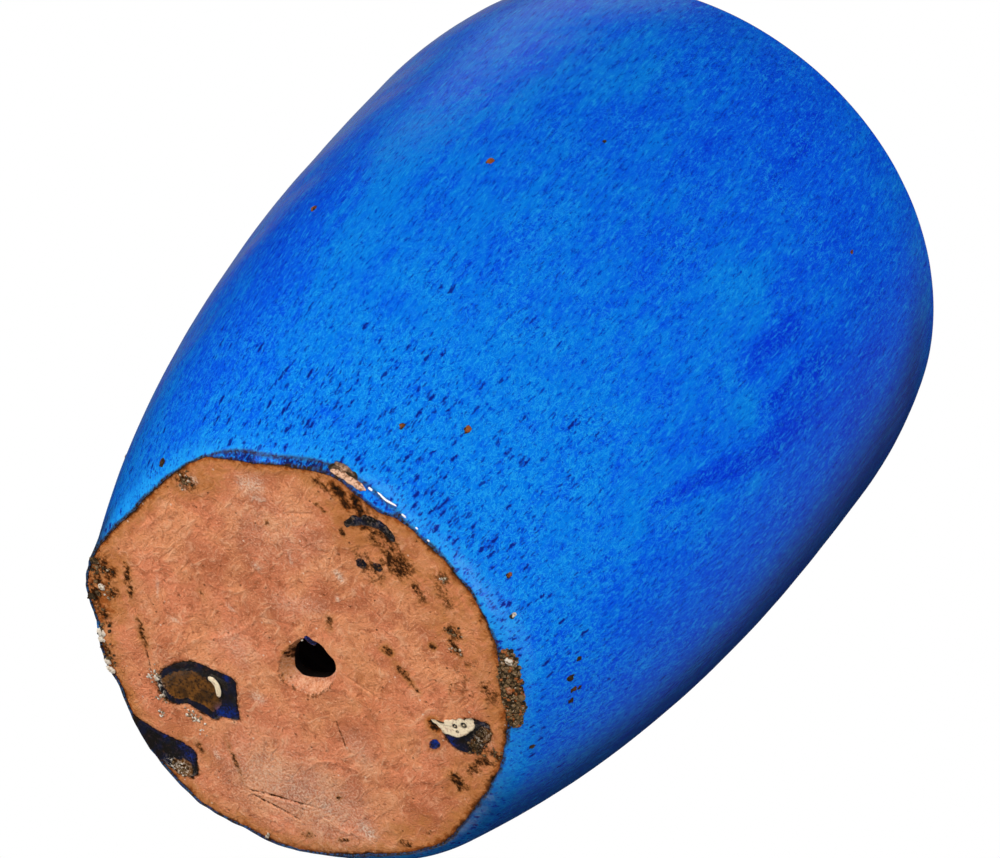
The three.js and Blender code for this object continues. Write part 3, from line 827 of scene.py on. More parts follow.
# Dark, burnt or gritty marks: middle, length, width, direction and strength
STAINS = [
    (-102, -44, 15, 10, 20, 0.8), (-105, 38, 14, 9, 14, 0.75), (-95, 47, 8, 6, -19, 0.9),
    (-90, 63, 12, 6, 34, 0.7), (-101, 57, 8, 5, 60, 0.9), (-92, 34, 22, 4, 49, 0.85),
    (-71, 55, 16, 4, 45, 0.8), (-80, 81, 10, 6, 0, 0.6), (-38.5, -103, 14, 4.5, 22, 2.0),
    (-29, -105, 13, 4.5, 32, 1.8), (3, -93, 17, 13, 6, 0.85), (-7, -100, 17, 9, 14, 0.7),
    (25, -106, 8, 5, 30, 0.6), (45, -83, 12, 6, -7, 0.75), (51, -76, 11, 5, 15, 0.75),
    (42, -67, 3.5, 3.5, 0, 1.0), (27, -45, 5.5, 4, 0, 1.0), (40, -41, 11, 4, 3, 0.75),
    (49, -38, 6, 2.6, 6, 0.8), (61, -75, 10, 4, -42, 0.5), (78, -68, 15, 9, 22, 0.6),
    (95, -9, 12, 7, 16, 0.9), (97, -22, 10, 6, -69, 0.6), (100, -39, 13, 5, -22, 0.7),
    (57, 89, 8, 3.5, -51, 0.75), (73, 74, 6, 2.5, -45, 0.7), (97, 47, 8, 3, -36, 0.75),
    (102, 31, 5, 2.5, -33, 0.7), (57, 54, 3, 3, 0, 0.7), (6, 82, 19, 2.4, 36, 0.6),
    (-3, -34, 9, 4, 60, 0.6), (68, -27.5, 6, 4, 20, 2.2), (-9, 3, 6, 3, 60, 0.9),
    (-6, -81, 17, 10, 20, 0.55), (-16, -97, 22, 9, 8, 0.5), (-60, 8, 5, 3, 20, 0.4),
    (-57, -58, 4, 3, 0, 0.5), (20, -88, 14, 7, 30, 0.5), (-27, -86, 6, 3, 40, 0.7),
    (-42, -88, 8, 2, 0, 0.6), (90, -46, 8, 5, 40, 0.7), (62, -53, 10, 2, 60, 0.4),
    (-12, 91, 7, 4, 30, 0.5), (-7, 1, 9, 5, 70, 1.0), (-7, -80, 22, 12, 20, 0.45),
    (-103, 50, 16, 9, 62, 0.7), (-98, 62, 16, 7, 55, 0.7), (64, -64, 30, 16, 40, 0.22),
    (-18, -101, 34, 15, 10, 0.5), (98, -30, 12, 7, -50, 0.7), (-48, -100, 16, 6, 10, 0.5),
    (30, -98, 24, 9, 30, 0.35),
]
# An orange halo round each mark is longer and wider by these shares
HALO_SPREAD = (1, 1, 1.6, 1.9, 1, 1)
# Broad orange burns, mostly towards the edge
BURNS = [
    (-15, -96, 74, 36, 5, 0.75), (40, -90, 64, 34, 30, 0.60), (84, -65, 64, 32, 52, 0.55),
    (96, -20, 50, 24, 80, 0.55), (-100, 48, 50, 26, 62, 0.95), (-95, -50, 44, 20, -62, 0.65),
    (-20, 94, 50, 12, -6, 0.45), (72, -20, 20, 12, 60, 0.5), (92, 40, 40, 16, -66, 0.50),
    (-55, -98, 40, 14, -26, 0.55), (-80, 75, 40, 14, 45, 0.45), (38, -12, 70, 44, 30, 0.22),
]
# Pale scuffs and whitish smears, in the same way
SCUFFS = [
    (-75, -70, 15, 10, -44, 0.6), (-68, -66, 10, 5, -38, 0.5), (56, 65, 10, 8, 17, 0.65),
    (78, 58, 14, 9, 9, 0.75), (-3, 87, 6, 3, 34, 0.7), (-6, 37, 9, 6, -10, 0.5),
    (-48, -31, 6, 2.5, 0, 0.6), (-38, -50, 10, 2, 43, 0.5), (-45, 2, 6, 2, 6, 0.5),
    (-62, 34, 8, 3, -26, 0.5), (-14, -62, 8, 4, 15, 0.8), (-8, -50, 4, 2, 40, 0.7),
    (-98, -48, 5, 4, 20, 0.8), (-100, -40, 4, 3, 0, 0.7), (91, -44, 10, 4, 27, 0.4),
    (-30, 20, 24, 14, 20, 0.25), (-20, -30, 30, 12, -40, 0.22), (50, 20, 26, 14, 30, 0.25),
    (-79, 24, 14, 1.4, 58, 0.5), (40, 70, 80, 44, -20, 0.40), (-52, -58, 50, 36, -40, 0.15),
]
# Scratches and cracks: middle, length, width, direction and depth. The first few hold dirt
DIRTY_SCRATCHES = 4
SCRATCHES = [
    (-69, 58, 38, 1.2, 45, 0.7), (35, 81, 37, 1.0, -34, 1.1), (36, 88, 26, 1.0, -18, 1.1),
    (37, 19, 20, 0.9, 38, 0.7), (-79, 19, 22, 1.0, 58, 0.6), (-48, -76, 16, 1.6, -47, 0.6),
    (-47, -28, 8, 2.0, 0, 0.8), (20, 30, 30, 0.9, 20, 0.4), (60, 40, 24, 0.9, 35, 0.4),
    (-60, -30, 30, 0.9, -30, 0.35), (10, -60, 26, 0.9, 15, 0.35), (70, 10, 26, 1.0, 50, 0.4),
    (-20, 40, 22, 0.9, -20, 0.35), (30, -15, 22, 1.2, -10, 0.45), (45, 0, 26, 0.9, 24, 0.4),
    (-62, 50, 20, 0.9, 70, 0.35), (-25, -10, 18, 0.9, -35, 0.4),
]


def stroke_at(stroke, x, y):
    """Strength of one soft stroke at each point."""
    middle_x, middle_y, length, width, turn, strength = stroke
    cos, sin = math.cos(math.radians(turn)), math.sin(math.radians(turn))
    along = (x - middle_x) * cos + (y - middle_y) * sin
    across = (y - middle_y) * cos - (x - middle_x) * sin
    return strength * np.exp(-(2 * along / length) ** 4 - (2 * across / width) ** 2)


def strokes_at(strokes, x, y):
    """The strongest of some soft strokes at each point."""
    return np.max([stroke_at(stroke, x, y) for stroke in strokes], axis=0)


def face_height(x, y):
    """Height of the bare clay above the ground: hollows, scratches and the pools' places."""
    place = np.stack([x, y, 0 * x], -1)
    height = FACE_HEIGHT + 0.35 * noise_at(place, 48, 21) + 0.30 * noise_at(place, 15, 22)
    height = height + 0.22 * noise_at(place, 6, 23) + 0.12 * noise_at(place, 2.4, 24)
    height = height - 0.45 * smooth_step(1 - np.abs(noise_at(place, 30, 25)), 0.9, 1.0)
    for scratch in SCRATCHES:
        height = height + stroke_at(scratch, x, y)
    for pool in POOLS.values():
        ratio = pool_ratio(pool, x, y)
        height = height + pool["sink"] * np.sqrt(np.clip(1 - ratio ** 2, 0, 1)) * (ratio < 1)
    return np.maximum(GROUND, height)


def slab_rows(angle, border):
    """Rows from the floor down the hole, out over the foot's face, up behind the glaze and back in.

    Also the number of the face's first row and of the row after its last. The face is still flat.
    """
    curves = [closed_curve(points, SLAB_COLUMNS) for points in (OPENING, NECK)]
    opening, neck = (by_direction(curve, HOLE_MIDDLE, angle) for curve in curves)
    edge = from_polar(border, angle, 0 * angle)[:, :2]
    rows = []
    for share in np.linspace(0, 1, 6)[:-1]:
        wider = NECK_FLARE * (1 - share)
        rows.append(with_height(neck * (1 + wider) - np.array(HOLE_MIDDLE) * wider,
                                FLOOR + (NECK_HEIGHT - FLOOR) * share))
    for share in np.linspace(0, 1, 9)[:-1]:
        flat = neck + (opening - neck) * share ** 0.7
        rows.append(with_height(flat, NECK_HEIGHT - (NECK_HEIGHT - HOLE_EDGE) * share))
    first_face = len(rows)
    for share in np.linspace(0, 1, FACE_ROWS):
        flat = opening + (edge - opening) * share
        rows.append(with_height(flat, 0))
    last_face = len(rows)
    length = edge_length(angle)
    for share in np.linspace(0.03, 0.8, 7):
        radius, height = edge_place(angle, share * length, -GLAZE - GAP)
        rows.append(from_polar(radius, angle, height))
    side = outer_radius(np.array(float(FLOOR))) - GLAZE - GAP + foot_offset(angle, FLOOR)
    rows.append(from_polar(side, angle, FLOOR + 0 * angle))
    rows.append(from_polar(side * 0.5, angle, FLOOR + 0 * angle))
    return np.array(rows), first_face, last_face


def base_slab(material):
    """The slab, with relief on the foot's face, which turns up at the glaze and meets the hole's edge."""
    angle = np.arange(SLAB_COLUMNS) * 360 / SLAB_COLUMNS
    border = bare_edge(angle)
    points, first_face, last_face = slab_rows(angle, border)
    face = points[first_face:last_face]
    x, y = face[..., 0], face[..., 1]
    inward = border[None] - np.hypot(x, y)
    face[..., 2] = face_height(x, y) + 0.9 * np.exp(-np.maximum(0, inward) / 1.2)
    face[0, :, 2] = np.maximum(face[0, :, 2], HOLE_EDGE)
    marks = slab_marks(points, border, first_face, last_face)
    faces = grid_faces(len(points), SLAB_COLUMNS, True)
    add_piece("base_slab", points, faces, material, ["base_slab"], marks)


def by_direction(curve, middle, angle):
    """The points of a closed curve that lie in given directions from a middle."""
    away = curve - np.array(middle)
    turn = np.degrees(np.arctan2(away[:, 1], away[:, 0])) % 360
    order = np.argsort(turn)
    reach = np.interp(angle, turn[order], np.hypot(away[:, 0], away[:, 1])[order], period=360)
    return np.array(middle) + from_polar(reach, angle, 0 * angle)[:, :2]


def with_height(flat, height):
    return np.concatenate([flat, np.full((len(flat), 1), float(height))], 1)


def slab_marks(points, border, first_face, last_face):
    """Where the clay is stained, pale, burnt orange or sooty, and where shade is painted down the drain hole
    and along its opening.
    """
    x, y = points[..., 0], points[..., 1]
    place = np.stack([x, y, 0 * x], -1)
    inward = np.maximum(0, border[None] - np.hypot(x, y))
    ragged = 1 + 0.5 * noise_at(place, 9, 31)
    dirt = 0.8 * strokes_at(SCRATCHES[:DIRTY_SCRATCHES], x, y)
    stain_and_painted_shade = np.maximum(strokes_at(STAINS, x, y), dirt)
    pale = strokes_at(SCUFFS, x, y)
    for pool in POOLS.values():
        ratio = pool_ratio(pool, x, y)
        stain_and_painted_shade = np.maximum(stain_and_painted_shade, 0.75 * np.exp(-np.maximum(0, ratio - 1) / 0.05))
    orange = 0.55 * np.exp(-(inward / (8.5 * ragged)) ** 1.6) + 0.75 * np.exp(-inward / (2.8 * ragged))
    burns = strokes_at(BURNS, x, y) * (0.75 + 0.5 * noise_at(place, 14, 32))
    halos = np.array(STAINS) * HALO_SPREAD
    orange = np.maximum(np.maximum(orange, burns), 0.7 * strokes_at(halos, x, y))
    soot = np.exp(-inward / (1.6 * ragged))
    soot = soot * (0.62 + 0.8 * noise_at(place, 13, 33) + 0.5 * noise_at(place, 4, 34))
    # A thin line of painted shade along the hole's opening, on one side
    lip = ring_ratio(OPENING, HOLE_MIDDLE, x, y)
    stain_and_painted_shade = np.maximum(stain_and_painted_shade, 0.35 * np.exp(-((lip - 1) / 0.06) ** 2) * (y > HOLE_MIDDLE[1]))
    row = np.arange(len(points))[:, None] + 0 * x
    bevel = (row < first_face) * smooth_step(row, 4.0, 5.0)
    rusty = 0.55 * bevel * smooth_step(HOLE_MIDDLE[0] - x, -2, 8)
    face = (row >= first_face) & (row < last_face)
    past = row >= last_face
    floor = (row == 0) | (row >= len(points) - 2)
    # Down the hole the clay is painted black: painted shade for the dark inside
    stain_and_painted_shade = np.where(row < last_face, np.maximum(stain_and_painted_shade, 20 * (1 - bevel) * (row < first_face)), 0)
    return {"stain_and_painted_shade": np.where(floor, 0.8, stain_and_painted_shade),
            "pale": np.where(face, pale, 0.18 * bevel),
            "orange": np.where(face, orange, 0.9 * past + rusty),
            "soot": np.where(face, soot, 0.9 * past * ~floor)}


# Ridges, drops, flakes and grains on the foot

def tube(path, width, height_low, height_high, sides):
    """A flattened bar along a path of points, tapering at both ends, as rows of a closed grid."""
    path = np.array(path, float)
    ahead = np.gradient(path, axis=0)
    across = np.stack([-ahead[:, 1], ahead[:, 0]], -1)
    across = across / np.linalg.norm(across, axis=1)[:, None]
    taper = np.sqrt(np.clip(1 - np.linspace(-1, 1, len(path)) ** 6, 0.02, 1))
    turn = np.linspace(0, 2 * math.pi, sides, endpoint=False)
    middle, half = (height_low + height_high) / 2, (height_high - height_low) / 2
    rows = []
    for point, side, size in zip(path, across, taper):
        flat = point + side * (np.cos(turn) * width / 2 * size)[:, None]
        rows.append(np.concatenate([flat, (middle - np.sin(turn) * half * size)[:, None]], 1))
    return np.array(rows)


def capped_faces(rows, columns):
    """Faces of a grid whose first and last row are closed by one face each."""
    faces = grid_faces(rows, columns).tolist()
    faces.append(list(range(columns))[::-1])
    faces.append([(rows - 1) * columns + k for k in range(columns)])
    return faces


def curve_through(points, steps):
    """An open curve near some points, with its corners rounded off."""
    points = np.array(points, float)
    place = np.linspace(0, len(points) - 1, steps)
    smooth = np.stack([np.interp(place, np.arange(len(points)), column) for column in points.T], -1)
    for _ in range(3):
        smooth[1:-1] = (smooth[:-2] + 2 * smooth[1:-1] + smooth[2:]) / 4
    return smooth


ARC_PATH = [(-28, -90), (-26, -96), (-21, -102), (-15, -105), (-9, -105), (-5, -103)]


def pool_arc(material):
    rows = tube(curve_through(ARC_PATH, 60), 5.4, GROUND, 2.4, 20)
    rows[..., :2] += 0.9 * noise_at(rows, 3, 41)[..., None]
    rows[..., 2] = np.maximum(GROUND, rows[..., 2] + 0.2 * (1 + noise_at(rows, 2.5, 42)))
    marks = {"brown": 0.05 + 0.4 * noise_at(rows, 4, 43), "pale": 0.06 + 0 * rows[..., 0]}
    add_piece("pool_arc", rows, capped_faces(60, 20), material, ["pool_arc"], marks)


def lump(middle, size, seed, rows=9, columns=16, rough=0.18):
    """An uneven rounded lump: points and faces."""
    lean = np.radians(np.linspace(-90, 90, rows))[1:-1]
    turn = np.radians(np.arange(columns) * 360 / columns)
    ring = np.stack([np.outer(np.cos(lean), np.cos(turn)), np.outer(np.cos(lean), np.sin(turn)),
                     np.outer(np.sin(lean), np.ones(columns))], -1).reshape(-1, 3)
    points = np.concatenate([[[0, 0, -1]], ring, [[0, 0, 1]]])
    points = points * (1 + rough * noise_at(points * 2 + seed * 3.7, 1.0, seed))[:, None]
    last = len(points) - 1
    faces = (grid_faces(rows - 2, columns) + 1).tolist()
    faces += [[0, 1 + (k + 1) % columns, 1 + k] for k in range(columns)]
    faces += [[last, last - columns + k, last - columns + (k + 1) % columns] for k in range(columns)]
    return points * np.array(size) + np.array(middle), faces


# Drops of glaze: middle, half sizes, slot and how blue
DROPS = {
    "glaze_drop_1": ((-9.8, -78.2, 1.4), (3.1, 2.8, 1.3), "brown_glaze", 0.0),
    "glaze_drop_2": ((-3.1, -83.6, 1.4), (3.0, 2.6, 1.3), "brown_glaze", 0.0),
    "glaze_drop_3": ((74.4, -17.8, 1.4), (2.6, 3.4, 1.3), "navy_glaze", 1.0),
    "hole_fleck": ((-4.8, -16.2, 2.0), (3.7, 1.8, 1.4), "blue_glaze", 0.6),
}


def glaze_drops(material):
    for seed, (name, (middle, size, slot, blue)) in enumerate(DROPS.items()):
        points, faces = lump(middle, size, seed + 1, 17, 32, 0.22)
        marks = {"brown": 0.30 + 0 * points[:, 0], "blue": blue + 0 * points[:, 0]}
        add_piece(name, points, faces, material, [name], marks)


# Painted highlights on the pools, built as thin cream flakes: a crescent on the left pool, and a patch with
# bubbles by the right pool
CRESCENT = [(-31.3, 48.9), (-28.6, 47.9), (-25.5, 48.8), (-23.3, 50.8), (-20.9, 54.3)]
PATCH = [
    (65, -29.5), (68.5, -31), (71, -32), (70, -35.5), (71.5, -37.5), (74, -40), (75, -43), (77, -43.5),
    (78.5, -47), (81, -47.5), (83.5, -44), (83, -39.5), (82, -35), (80, -32), (77, -30.2), (73.7, -28),
    (72, -29), (68.5, -29.5),
]
PATCH_MIDDLE = (77, -37)
BUBBLES = [(75.8, -36.8, 1.6), (78.8, -41.0, 2.0), (78.5, -35.0, 1.0)]


def flake_left(material):
    rows = tube(curve_through(CRESCENT, 30), 3.2, 0.15, 1.5, 14)
    rows[..., :2] += 0.35 * noise_at(rows, 2.5, 52)[..., None]
    add_piece("flake_left", rows, capped_faces(30, 14), material, ["flake_left"])


def flake_right(material):
    outline = closed_curve(PATCH, 80)
    outline = outline + 0.5 * noise_at(with_height(outline, 0), 1.6, 53)[:, None]
    middle = np.array(PATCH_MIDDLE)
    low, high = 0.2, 1.4
    shares = [(0.1, high), (0.96, high), (1.0, high - 0.5), (0.97, low + 0.2)]
    shares += [(share, low) for share in np.linspace(0.92, 0.04, 18)]
    points = np.array([with_height(middle + (outline - middle) * share, level) for share, level in shares])
    x, y = points[..., 0], points[..., 1]
    hole = np.zeros_like(x)
    for across, down, size in BUBBLES:
        away = np.hypot(x - across, y - down) / size
        hole = np.maximum(hole, smooth_step(away, 0.1, 0.45) * (1 - smooth_step(away, 0.7, 1.0)))
    face = points[..., 2] < low + 0.1
    points[..., 2] += np.where(face, 0.7 * hole + 0.10 * (1 + noise_at(points, 3, 51)), 0)
    rim = np.array([share for share, _ in shares])[:, None]
    dirt = smooth_step(rim + 0.25 * noise_at(points, 4, 54), 0.85, 1.05)
    add_piece("flake_right", points, capped_faces(len(points), 80), material, ["flake_right"],
              {"stain_and_painted_shade": np.maximum(hole, 0.7 * dirt)})


def joined(parts):
    """One mesh from many: all their points, and their faces counted on."""
    faces, count = [], 0
    for points, part_faces in parts:
        faces += [[count + corner for corner in face] for face in part_faces]
        count += len(points)
    return np.concatenate([points for points, _ in parts]), faces


def grain_heap(middles, sizes, tones, rusts, seed):
    """Many uneven grains: points, faces, tones and rust."""
    places = enumerate(zip(middles, sizes))
    grains = [lump(middle, size, seed + k, 6, 8, 0.55) for k, (middle, size) in places]
    points, faces = joined(grains)
    each = len(points) // len(grains)
    return points, faces, np.repeat(tones, each), np.repeat(rusts, each)


def add_grit(name, heaps, material, nodes):
    """One piece from some heaps of grains."""
    points, faces = joined([heap[:2] for heap in heaps])
    tones, rust = (np.concatenate([heap[k] for heap in heaps]) for k in (2, 3))
    points[:, 2] = np.maximum(GROUND, points[:, 2])
    add_piece(name, points, faces, material, nodes, {"tone": tones, "rust": rust})


# Crusts of kiln grit on the foot's edge: directions, run from the bare clay's border, how many,
# tones, seed, and width of the dark bed under them
CRUSTS = [
    dict(name="grit_crust_right", start=306, end=328, low=-1.5, high=9,
         count=420, tones=(0.0, 0.7), seed=100, bed=9),
    dict(name="grit_crust_left", start=129, end=160, low=-8, high=1,
         count=46, tones=(0.0, 0.6), seed=400, bed=0),
]
BED_TONE = 0.08
# Bigger lumps in the crusts: crust, direction, run, length, width and tone
CRUST_LUMPS = [
    ("grit_crust_left", 139.5, -1.5, 3.4, 2.4, 1.0), ("grit_crust_left", 137.5, -1.0, 2.4, 1.9, 0.95),
    ("grit_crust_left", 131, -1.5, 2.6, 1.8, 1.0), ("grit_crust_left", 128.5, -1.0, 2.8, 1.8, 0.95),
    ("grit_crust_left", 161, -3, 2.6, 2.0, 0.15), ("grit_crust_left", 154, -9, 2.2, 1.8, 0.9),
    ("grit_crust_left", 150, -2, 2.6, 2.2, 0.05), ("grit_crust_right", 309, 4, 2.6, 2.4, 0.9),
    ("grit_crust_right", 317, 2, 2.4, 2.2, 0.75), ("grit_crust_right", 320, 7, 2.6, 2.4, 0.45),
    ("grit_crust_right", 325, 4, 2.6, 2.2, 0.3),
]


def grit_crusts(material):
    for crust in CRUSTS:
        random = np.random.default_rng(crust["seed"])
        count = crust["count"]
        angle = random.uniform(crust["start"], crust["end"], count)
        middle = (crust["start"] + crust["end"]) / 2
        share = np.sqrt(np.clip(1 - ((angle - middle) / (crust["end"] - middle)) ** 4, 0.05, 1))
        across = 0.5 + random.uniform(-0.5, 0.5, count) * share
        run = crust["low"] + (crust["high"] - crust["low"]) * across
        size = random.uniform(0.35, 1.2, count)
        sizes = size[:, None] * random.uniform(0.7, 1.2, (count, 3))
        tones = random.uniform(*crust["tones"], count)
        big = np.array([lump_row[1:] for lump_row in CRUST_LUMPS if lump_row[0] == crust["name"]])
        angle, run = np.concatenate([angle, big[:, 0]]), np.concatenate([run, big[:, 1]])
        sizes = np.concatenate([sizes, np.stack([big[:, 2], big[:, 3], 0.6 * big[:, 3]], -1)])
        radius, height = edge_place(angle, run, 0.3)
        height = np.maximum(height, 0.6 * sizes[:, 2] + 0.2)
        tones = np.concatenate([tones, big[:, 4]])
        rusts = 1.0 * (random.uniform(0, 1, len(tones)) < 0.15)
        heaps = [grain_heap(from_polar(radius, angle, height), sizes, tones, rusts, crust["seed"])]
        if crust["bed"]:
            run = (crust["low"] + crust["high"]) / 2
            bed = edge_patch(crust["start"], crust["end"], run, run, crust["bed"], 0.5)
            tone = np.full(bed[..., 0].size, BED_TONE)
            heaps.append((bed.reshape(-1, 3), capped_faces(*bed.shape[:2]), tone, 0 * tone))
        add_grit(crust["name"], heaps, material, [crust["name"]])


# Loose crumbs round the pools and on the gritty patches: middle, spread, how many, and tones
CRUMBS = [
    (-37, 90, 2.5, 12, (0.5, 1.0)), (-22, 77, 4, 20, (0.4, 1.0)), (-52, 73, 4, 26, (0.7, 1.0)),
    (-43, 82, 3, 16, (0.5, 1.0)), (-16, 81, 3, 8, (0.6, 1.0)), (-11, 112, 4.5, 44, (0.3, 1.0)),
    (-102, -44, 5, 30, (0.0, 0.9)), (-104, 38, 5, 16, (0.0, 0.7)), (-96, 50, 4, 12, (0.0, 0.9)),
    (90, -36, 4.5, 40, (0.0, 0.35)), (88, -46, 4, 26, (0.0, 0.6)), (45, -83, 4, 12, (0.1, 0.6)),
    (51, -76, 3.5, 10, (0.1, 0.8)), (25, -106, 2.5, 10, (0.2, 0.9)), (43, 108, 2.5, 8, (0.6, 1.0)),
    (100, -40, 4, 12, (0.0, 0.5)), (-27, 76, 3, 10, (0.3, 1.0)), (-8, -14, 1.5, 4, (0.6, 1.0)),
]
CRUMB_HEIGHT = 1.0
CRUMB_SEED = 7


def crumbs(material):
    random = np.random.default_rng(CRUMB_SEED)
    middles, sizes, tones = [], [], []
    for x, y, spread, count, tone in CRUMBS:
        flat = random.normal(0, spread * 0.5, (count, 2)) + (x, y)
        size = random.uniform(0.25, 0.85, count)
        middles.append(with_height(flat, CRUMB_HEIGHT))
        sizes.append(size[:, None] * random.uniform(0.8, 1.3, (count, 3)) * (1, 1, 0.6))
        tones.append(random.uniform(*tone, count))
    tones = np.concatenate(tones)
    heap = grain_heap(np.concatenate(middles), np.concatenate(sizes), tones, 0 * tones, 800)
    add_grit("crumbs", [heap], material, [])


# Iron specks burnt through the glaze: direction, height, size, tone and rust
SPECKS = [
    (236, 224, 2.4, 0.20, 1.0), (206, 185, 2.2, 0.20, 0.8), (253.5, 41, 1.8, 0.15, 0.6),
    (264.6, 59, 2.2, 0.20, 0.9), (250.7, 269, 1.3, 0.05, 0.0), (297, 343, 1.5, 0.20, 0.4),
    (292, 21, 1.7, 0.20, 0.9), (299.7, 12, 1.6, 0.95, 0.0), (322, 34, 2.3, 0.0, 0.0),
    (319, 41, 1.6, 0.0, 0.0), (325.5, 36, 1.8, 0.05, 0.2), (328, 34, 1.6, 0.0, 0.0),
    (326, 40, 1.4, 0.0, 0.0), (335.6, 11.5, 1.6, 0.0, 0.1), (197.5, 9, 2.0, 0.05, 0.1),
    (30, 200, 2.2, 0.2, 0.4), (66, 120, 1.8, 0.1, 0.3), (140, 260, 2.0, 0.2, 0.5),
    (113, 330, 1.6, 0.2, 0.4), (55, 60, 1.7, 0.1, 0.2), (165, 70, 1.5, 0.2, 0.4),
    (27, 310, 1.8, 0.2, 0.4),
]
SPECK_DEPTH = 0.9


def iron_specks(material):
    """Each speck is a rusty grain in a wider dark one that lies deeper."""
    angle, height, size, tone, rust = np.array(SPECKS, float).T
    surface = outer_radius(height) + foot_offset(angle, height) - SPECK_DEPTH
    sizes = np.stack([size, size, 1.5 * size], -1)
    middles = grain_heap(from_polar(surface, angle, height), 0.72 * sizes, tone, rust, 61)
    deeper = from_polar(surface - 0.60 * size, angle, height)
    rings = grain_heap(deeper, 1.05 * sizes, 0 * tone, 0 * rust, 161)
    add_grit("iron_specks", [middles, rings], material, [])


# Strips where the glaze has chipped off the foot's edge, and painted glints as thin white beads:
# directions, run at both ends, width, proudness, how tan, how stained and how white
CHIPS = [
    (244.8, 252.0, 4.2, 5.2, 6.6, 0.18, 1.0, 1.0, 0.0),
    (245.6, 254.9, 2.6, 4.2, 3.8, 0.40, 1.0, 0.0, 0.0), (245.6, 250.4, 7.2, 7.0, 2.6, 0.45, 1.0, 0.6, 0.0),
    (255.1, 256.2, 6.0, 6.0, 1.3, 0.35, 0.0, 0.0, 1.0), (257.4, 262.9, 6.9, 5.6, 1.0, 0.30, 0.0, 0.0, 1.0),
    (264.9, 266.2, 2.9, 2.8, 1.2, 0.35, 0.0, 0.0, 1.0), (269.3, 270.0, 2.2, 2.2, 0.8, 0.30, 0.0, 0.0, 1.0),
    (273.2, 273.9, 1.6, 1.6, 0.8, 0.30, 0.0, 0.0, 1.0),
]
PATCH_ROWS = 36
PATCH_COLUMNS = 18


def edge_patch(start, end, run_start, run_end, width, out):
    """A thin uneven patch on the foot's edge, as rows of closed loops from one end to the other."""
    share = np.linspace(0, 1, PATCH_ROWS)[:, None]
    swell = np.sqrt(np.clip(1 - (2 * share - 1) ** 4, 0.03, 1))
    half = PATCH_COLUMNS // 2
    across = np.concatenate([np.linspace(0, 1, half), np.linspace(1, 0, half)])[None]
    is_top = (np.arange(PATCH_COLUMNS) < half)[None]
    angle = start + (end - start) * share + 0 * across
    run = run_start + (run_end - run_start) * share + width * (across - 0.5) * swell
    rough = noise_at(np.stack([angle * 2, run, 0 * run], -1), 1.6, 61)
    crown = 1 - (2 * across - 1) ** 4
    proud = np.where(is_top, out * crown * (1 + 0.7 * rough) * swell, -0.8)
    radius, height = edge_place(angle, run + 0.2 * width * rough, proud)
    return from_polar(radius, angle, np.maximum(GROUND, height))


def foot_chips(material):
    patches = [edge_patch(*shape) for *shape, _, _, _ in CHIPS]
    points, faces = joined([(rows.reshape(-1, 3), capped_faces(*rows.shape[:2])) for rows in patches])
    tan, stain_and_painted_shade, white = np.repeat(np.array(CHIPS)[:, -3:], PATCH_ROWS * PATCH_COLUMNS, 0).T
    stain_and_painted_shade = np.clip(stain_and_painted_shade * (1 + noise_at(points, 3, 62)), 0, 1)
    add_piece("foot_glaze_roll", points, faces, material, ["foot_glaze_roll"],
              {"tan": tan, "stain_and_painted_shade": stain_and_painted_shade, "white": white})


# Stage: floor, world, lamps and camera

POT_MIDDLE = Vector((0, 0, 215)) * MM


def camera_axes():
    """Right, down and forward of the picture, as directions in the pot's own frame."""
    tilt, roll = math.radians(TILT), math.radians(ROLL)
    up = Vector((math.sin(tilt) * math.cos(roll), -math.sin(tilt) * math.sin(roll), math.cos(tilt)))
    across = Vector((math.sin(roll), math.cos(roll), 0))
    back = up.cross(across)
    return [Vector((across[k], back[k], up[k])) for k in range(3)]


def add_camera():
    right, down, forward = camera_axes()
    data = bpy.data.cameras.new("camera")
    data.sensor_width = SENSOR_MM
    data.lens = SENSOR_MM * FOCAL_PIXELS / IMAGE_WIDTH
    data.clip_end = 20
    camera = bpy.data.objects.new("camera", data)
    bpy.context.scene.collection.objects.link(camera)
    bpy.context.scene.camera = camera
    sideways = (FOOT_PIXEL[0] - IMAGE_WIDTH / 2) / FOCAL_PIXELS
    downward = (FOOT_PIXEL[1] - IMAGE_HEIGHT / 2) / FOCAL_PIXELS
    place = -(right * sideways + down * downward + forward) * CAMERA_DEPTH * MM
    turn = Matrix((right, -down, -forward)).transposed().to_4x4()
    camera.matrix_world = Matrix.Translation(place) @ turn


def add_lamp(name, direction, distance, size, level):
    """A square lamp that gives the level, 1 for plain white, on a face turned towards it."""
    data = bpy.data.lights.new(name, "AREA")
    data.size = size
    data.energy = level * math.pi ** 2 * distance ** 2
    lamp = bpy.data.objects.new(name, data)
    direction = direction.normalized()
    turn = direction.to_track_quat("Z", "Y").to_matrix().to_4x4()
    lamp.matrix_world = Matrix.Translation(POT_MIDDLE + direction * distance) @ turn
    lamp.visible_camera = False
    lamp.visible_glossy = False
    bpy.context.scene.collection.objects.link(lamp)
    lamp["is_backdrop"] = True


# Soft panels that only reflections show: direction, how tight each is, and its brightness
PANELS = [
    ((-0.20, 0.57, 0.80), 0.974, 0.19),
    ((-0.40, 0.40, 0.825), 0.98, 0.05),
    ((-0.48, 0.10, 0.87), 0.95, 0.34),
    ((0.70, 0.26, 0.67), 0.86, 0.06),
    ((0.48, 0.83, -0.25), 0.95, 1.3),
    ((-0.96, 0.05, -0.25), 0.95, 1.1),
    ((0.48, -0.83, -0.25), 0.95, 1.3),
]
DIM = 0.008
GROUND_GLOW = 0.09
AMBIENT = 0.18


